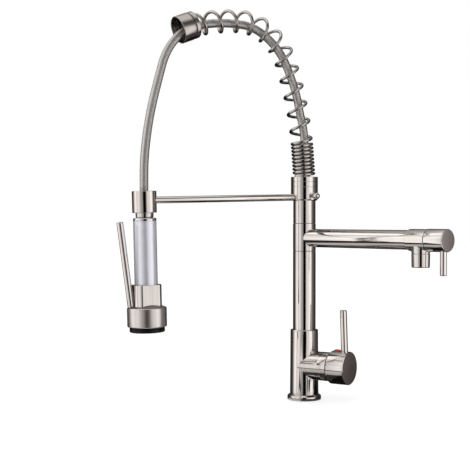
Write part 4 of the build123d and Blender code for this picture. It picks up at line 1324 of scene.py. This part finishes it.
@dataclass
class SprayHead(Assembly):
    """The docked spray head with its lever."""

    neck_radius: float = 10.25
    neck_bore: float = 2.5
    grip_radius: float = 13.3
    grip_top: float = -21.8
    grip_low: float = -94.4
    trim_top: float = -18.3
    trim_bore: float = 7.0
    bell_radius: float = 22.65
    bell_wall: float = 2.0
    bell_top: float = -119.9
    bell_rim: float = -120.3
    bell_low: float = -142.1
    cone_slope: float = 0.38
    block_radius: float = 17.3
    block_flat: float = 13.5
    block_blend: float = 50.0
    groove_half: float = 4.2
    groove_floor: float = -13.0
    slot_half: float = 3.2
    slot_floor: float = -1.6
    slot_top: float = -112.7
    face_radius: float = 20.2
    face_low: float = -148.2
    face_dish: float = 2.6
    lever_radius: float = 3.85
    lever_foot: tuple[float, float] = (-19.3, -119.2)
    lever_tip: tuple[float, float] = (-30.6, -22.3)
    nozzle_rings: tuple[tuple[float, int], ...] = ((6.0, 6), (11.0, 12), (16.0, 18))
    nozzle: Triple = (2.2, 1.15, 0.75)

    @property
    def cone_foot(self) -> float:
        """The radius at which the bell's cone ends inside the block."""
        return self.block_flat - 1.0

    @property
    def cone_top(self) -> float:
        """The height of the cone's upper end."""
        return self.bell_rim + self.cone_slope * (self.bell_radius - self.cone_foot)

    def build(self) -> None:
        """Builds and dresses the spray head."""
        r, bore, low, high = self.neck_radius, self.neck_bore, self.trim_top, self.trim_top + 1.2
        neck = (
            (bore, low), (r - 1.0, low), (r, high), (r, -10.5), (r - 1.0, -9.5), (4.0, -9.5), (4.0, -1.5),
            (bore, -1.5),
        )
        neck_nickel = Polished("neck_nickel", DECK, (0.72, 0.70, 0.68), 0.10, 0.18)
        turned("spray_neck_plug", "spray_neck", SPRAY, neck, neck_nickel, ease=0.5)
        r, bore, low, top = self.grip_radius, self.trim_bore, self.grip_top, self.trim_top
        trim = ((bore, low), (r, low), (r, low + 2.4), (r - 0.9, top), (bore, top))
        turned("grip_trim_ring", "handle_trim", SPRAY, trim, Finishes.trim, ease=0.6)
        grip = ((r - 2.0, self.grip_low), (r, self.grip_low), (r, self.grip_top), (r - 2.0, self.grip_top))
        satin = SatinGrip("satin_grip", SPRAY)
        turned("grip_sleeve", "spray_handle", SPRAY, grip, satin, segments=128, ease=0.35)
        register(self.block(), "valve_block", Finishes.spray)
        self.bell()
        self.plate()
        self.lever()
        dress(Finishes.steel, "lever_pin", "valve_plunger")
        dress(Finishes.shell, "water_tube")

    def cutters(self, low: float, high: float) -> list[Piece]:
        """The lever's groove and the slot of its arm between two heights, as shapes to cut away."""
        shapes = []
        for half, floor, top in (
            (self.groove_half, self.groove_floor, high),
            (self.slot_half, self.slot_floor, min(high, self.slot_top)),
        ):
            corners = ((-30.0, -half), (floor, -half), (floor, half), (-30.0, half))
            shapes.append(prism("cutter", SPRAY, corners, low, top))
        return shapes

    def block(self) -> Piece:
        """The round valve block with its front and back flats and the lever's groove."""
        outline, blend = [], self.block_blend
        for step in range(180):
            turn = math.tau * step / 180
            flat = abs(math.sin(turn)) / self.block_flat
            radius = (self.block_radius**-blend + flat**blend) ** (-1 / blend)
            outline.append((radius * math.cos(turn), radius * math.sin(turn)))
        block = prism("valve_block_body", SPRAY, outline, self.bell_top, self.grip_low)
        carve(block, self.cutters(self.bell_top - 1.0, self.grip_low + 1.0))
        return broken(block, 0.3)

    def bell(self) -> None:
        """Builds the bell with its shallow cone, cut for the lever."""
        r, inner, low, rim = self.bell_radius, self.bell_radius - self.bell_wall, self.bell_low, self.bell_rim
        outline = (
            (0, self.bell_top - 3.0), (inner, self.bell_top - 3.0), (inner, low), (r - 0.7, low),
            (r, low + 0.8), (r, rim - 0.6), (r - 0.6, rim), (self.cone_foot, self.cone_top),
            (0, self.cone_top),
        )
        bell = lathe("spray_bell_shell", SPRAY, outline, segments=128, ease=0.3)
        carve(bell, self.cutters(self.bell_top, self.cone_top + 1.0))
        side = BrushedNickel("nickel_bell", SPRAY, smooth=0.24, rough=0.36)
        # The bell's top is a darker copy of its nickel as painted shade; the spun circles are real.
        top = SpunNickel("nickel_bell_top_painted_shade", SPRAY, (0.42, 0.38, 0.36))
        register(bell, "spray_bell", side, top)
        face_end(bell, SPRAY, rim - 0.1, self.cone_top + 0.1)

    def lever(self) -> None:
        """Builds the side lever and dresses its foot."""
        foot, tip = (SPRAY.at(x, 0, z) for x, z in (self.lever_foot, self.lever_tip))
        axes = Axes(tuple(foot), (0, 1, 0), tuple((tip - foot).normalized()))
        long, r = (tip - foot).length / MM, self.lever_radius
        rod = ((0, 0), (r - 0.4, 0), (r, 0.4), (r, long - 0.7), (r - 0.7, long), (0, long))
        nickel = BrushedNickel("nickel_lever", axes, smooth=0.02, rough=0.06)
        turned("lever_rod", "spray_lever", axes, rod, nickel, segments=64, ease=0.5)
        self.packed("lever_foot_plate", "lever_foot", nickel, 0.2)

    def plate(self) -> None:
        """Builds the rubber plate and grows its rings of soft nozzles."""
        rubber = Moulding("face_rubber", DECK, (0.004, 0.004, 0.005), Softness.SATIN)
        long, root, tip = (size * MM for size in self.nozzle)
        recipe = NodeRecipe(
            "nozzle_rings", Length=long, Root_radius=root, Tip_radius=tip, Finish=rubber.make()
        )
        graph, rings = recipe.graph, []
        ends = {"Radius_Top": recipe["Tip radius"], "Radius_Bottom": recipe["Root radius"]}
        cone = graph.out("GeometryNodeMeshCone", Vertices=14, Depth=recipe["Length"], **ends)
        for radius, count in self.nozzle_rings:
            circle = graph.out("GeometryNodeMeshCircle", Vertices=count, Radius=radius * MM)
            rings.append(graph.out("GeometryNodeInstanceOnPoints", Points=circle, Instance=cone))
        nozzles = recipe.grow("spray_nozzles", graph.join(rings), polyline())
        r, inner, edge = self.face_radius, self.bell_radius - self.bell_wall, self.bell_low
        low, dish = self.face_low, self.face_low + self.face_dish
        nozzles.data.transform(SPRAY.moved(0, 0, dish).matrix() @ Matrix.Rotation(math.pi, 4, "X"))
        face = (
            (0, edge + 6.0), (inner, edge + 6.0), (inner, edge), (r, edge), (r, edge - 1.6),
            (r - 0.5, edge - 2.0), (r, edge - 2.4), (r, low + 0.8), (r - 0.8, low), (r - 1.8, low),
            (r - 2.4, dish), (0, dish),
        )
        turned("spray_plate", "spray_face", SPRAY, face, rubber, segments=128, ease=0.4)
        register(nozzles, "spray_face")


@dataclass(frozen=True)
class Panel:
    """One upright edge of the tent's wall: where it stands and how light its cloth is."""

    azimuth: float
    distance: float
    tone: float
    skirt: float
    crest: float
    lift: float


@dataclass
class Studio:
    """The pale floor, the soft lamps, the tent that draws the metal's bands, and the camera, in metres."""

    eye: Triple = (-0.7016, -1.1126, 0.2243)
    aim: float = 61.50
    dip: float = 0.9454
    lens: float = 81.395
    middle: Triple = (-0.05, 0, 0.24)
    tent_middle: float = 0.20
    ground_height: float = -0.05
    eaves: float = 2.4
    roof_height: float = 5.6
    roof_tone: float = 0.90
    floor_glow: float = 1.16
    floor_share: float = 0.55
    lit_side: tuple[float, float] = (100, 215)
    far_gain: float = 0.15
    panels: tuple[Panel, ...] = tuple(
        Panel(*row)
        for row in (
            (-134, 1.40, 0.3, 0.42, 0.08, 1.00), (-131.5, 1.32, 0, 0.42, 0.00, 1.00),
            (-110.5, 1.30, 0, 0.42, 0.00, 1.00), (-107.5, 1.05, 0.22, 0.42, 0.08, 1.00),
            (-104, 0.80, 0.7, 0.60, 0.08, 1.00), (-98, 0.65, 0.86, 0.75, 0.08, 1.00),
            (-88, 0.56, 0.92, 0.75, 0.08, 1.00), (-78, 0.50, 1.1, 0.75, 0.08, 1.00),
            (-66, 0.46, 1.3, 0.75, 0.08, 1.00), (-54, 0.44, 1.2, 0.75, 0.08, 1.00),
            (-48, 0.43, 0.8, 0.70, 0.08, 1.00), (-42, 0.44, 0.26, 0.60, 0.08, 1.00),
            (-28, 0.55, 0.14, 0.45, 0.08, 1.00), (-12, 0.80, 0.07, 0.35, 0.12, 1.00),
            (10, 1.40, 0.035, 0.30, 0.34, 1.00), (60, 2.00, 0.05, 0.30, 0.36, 0.80),
            (90, 2.00, 0.04, 0.30, 0.36, 0.70), (112, 2.00, 0.03, 0.30, 0.36, 0.62),
            (118, 2.00, 0.04, 0.30, 0.60, 0.62), (127, 2.00, 0.08, 0.30, 1.50, 0.64),
            (137, 2.00, 0.36, 0.30, 1.40, 0.70), (146, 2.00, 0.84, 0.30, 1.30, 0.80),
            (156, 2.00, 1.28, 0.36, 1.20, 1.08), (166, 2.00, 1.16, 0.55, 1.10, 1.30),
            (175, 2.00, 0.76, 0.80, 0.90, 1.45), (187, 2.00, 1.08, 0.80, 0.90, 1.45),
            (198, 2.00, 0.88, 0.75, 0.70, 1.45), (208, 2.00, 0.5, 0.60, 0.50, 1.45),
            (219, 1.80, 0.42, 0.42, 0.30, 1.30), (226, 1.50, 0.3, 0.42, 0.20, 1.10),
        )
    )
    # The ground's tones by radius, as the metal sees them: the dark middle is painted shadow, the object's
    # own shade on the floor beneath it.
    ground: Outline = ((0.001, 0.04), (0.09, 0.04), (0.11, 0.50), (0.25, 0.62), (0.30, 0.03), (0.36, 0.03))
    rungs: tuple[Triple, ...] = (
        (-1.05, 0.0, 0.0), (-0.95, 1.0, 0.0), (0.60, 1.0, 0.0), (0.76, 0.14, 0.30), (0.90, 0.10, 0.70),
        (1.02, 0.0, 1.0), (1.45, 0.0, 1.0),
    )

    def camera(self) -> None:
        """Stands the camera where the photograph was taken from."""
        data = bpy.data.cameras.new("camera")
        data.lens = self.lens
        data.sensor_width = 36.0
        camera = linked("camera", data)
        a, d = math.radians(self.aim), math.radians(self.dip)
        look = Vector((math.cos(a) * math.cos(d), math.sin(a) * math.cos(d), -math.sin(d)))
        camera.location = self.eye
        camera.rotation_mode = "QUATERNION"
        camera.rotation_quaternion = look.to_track_quat("-Z", "Y")
        bpy.context.scene.camera = camera
        log.info("camera %.1f mm, %.0f mm away", self.lens, Vector(self.eye).length / MM)

    def world(self) -> None:
        """A white surround for the camera and for the metal, and a plain level for the rest."""
        world = bpy.data.worlds.new("studio")
        bpy.context.scene.world = world
        world.use_nodes = True
        world.node_tree.nodes.clear()
        graph = Graph(world.node_tree)
        seen = graph.seen().apply("MAXIMUM", graph.out("ShaderNodeLightPath", output="Is Transmission Ray"))
        back = graph.out("ShaderNodeBackground", Color=(1, 1, 1, 1), Strength=seen * 0.05 + 0.95)
        graph.add("ShaderNodeOutputWorld", Surface=back)

    def floor(self) -> None:
        """A pale floor that keeps the object's shadow."""
        material, graph, shader = surface("pale_floor")
        speckle = graph.noise(graph.local(DECK), 40, 3)
        pale = [(0.3, (0.90, 0.90, 0.90)), (0.7, (0.94, 0.94, 0.94))]
        graph.feed(shader.inputs["Base Color"], graph.ramp(speckle, pale))
        shader.inputs["Roughness"].default_value = 0.7
        glow = graph.out("ShaderNodeEmission", Color=(1, 1, 1, 1), Strength=self.floor_glow)
        both = graph.add("ShaderNodeMixShader")
        for socket, value in zip(both.inputs, (graph.seen() * self.floor_share, shader.outputs[0], glow)):
            graph.feed(socket, value)
        graph.feed(material.node_tree.nodes["Material Output"].inputs[0], both.outputs[0])
        builder = bmesh.new()
        bmesh.ops.create_grid(builder, x_segments=1, y_segments=1, size=6.0)
        floor = as_piece("floor", builder, Matrix.Translation((0, 0, -0.0005)))
        floor.data.materials.append(material)
        floor.visible_glossy = False

    def edge(self, panel: Panel) -> list[Triple]:
        """A panel's edge from the middle of the ground to that of the roof, as (radius, height, tone)."""
        near = 1.0 if self.lit_side[0] < panel.azimuth < self.lit_side[1] else self.far_gain
        rows = [(radius, self.ground_height, tone * near) for radius, tone in self.ground]
        far = panel.distance
        for slope, gain, crest_gain in self.rungs:
            rise = slope * (panel.skirt if slope < 0 else panel.lift) * far
            rows.append((far, self.tent_middle + rise, panel.tone * gain + panel.crest * crest_gain))
        rows.append((far, self.tent_middle + self.eaves * far, self.roof_tone))
        rows.append((0.01, self.roof_height, self.roof_tone))
        return rows

    def tent(self) -> None:
        """Stands a tent of lit and dark cloth round the set that only the metal sees."""
        material, graph, shader = surface("tent_cloth")
        shader.inputs["Base Color"].default_value = (0, 0, 0, 1)
        shader.inputs["Specular IOR Level"].default_value = 0.0
        shader.inputs["Emission Color"].default_value = (1.0, 0.975, 0.955, 1)
        tone = graph.out("ShaderNodeAttribute", {"attribute_name": "tone"}, "Fac")
        graph.feed(shader.inputs["Emission Strength"], tone)
        builder = bmesh.new()
        layer = builder.verts.layers.float.new("tone")
        edges = []
        for panel in self.panels:
            x, y, _ = level(panel.azimuth)
            rows = self.edge(panel)
            edges.append([builder.verts.new((radius * x, radius * y, height)) for radius, height, _ in rows])
            for point, row in zip(edges[-1], rows):
                point[layer] = row[2]
        for a, b in zip(edges, edges[1:] + edges[:1]):
            for k in range(len(a) - 1):
                builder.faces.new((a[k], b[k], b[k + 1], a[k + 1]))
        cloth = as_piece("tent", builder)
        cloth.data.materials.append(material)
        cloth.visible_camera = cloth.visible_diffuse = cloth.visible_shadow = False

    def lamp(self, name: str, place: Triple, power: float) -> None:
        """Hangs a square soft lamp, a metre wide, aimed at the object.

        Args:
            name: The lamp's name.
            place: Where it hangs.
            power: Its power, in watts.
        """
        data = bpy.data.lights.new(name, "AREA")
        data.size = 1.0
        data.energy = power
        lamp = linked(name, data)
        lamp.location = place
        lamp.rotation_mode = "QUATERNION"
        lamp.rotation_quaternion = (Vector(self.middle) - Vector(place)).to_track_quat("-Z", "Y")
        lamp.visible_glossy = False

    def light(self) -> None:
        """Sets the stage round the object."""
        self.world()
        self.floor()
        self.tent()
        self.lamp("key", (-1.2, -0.9, 1.6), 12)
        self.lamp("fill", (1.3, -1.0, 0.9), 6)
        bpy.context.scene.view_settings.view_transform = "Standard"


def main() -> None:
    """Builds the faucet piece by piece."""
    studio = Studio()
    studio.camera()
    for assembly in (Hose(), Arch(), Column(), Mixer(), PotFiller(), Dock(), SprayHead()):
        assembly.build()
    studio.light()


if __name__ == "__main__":
    main()
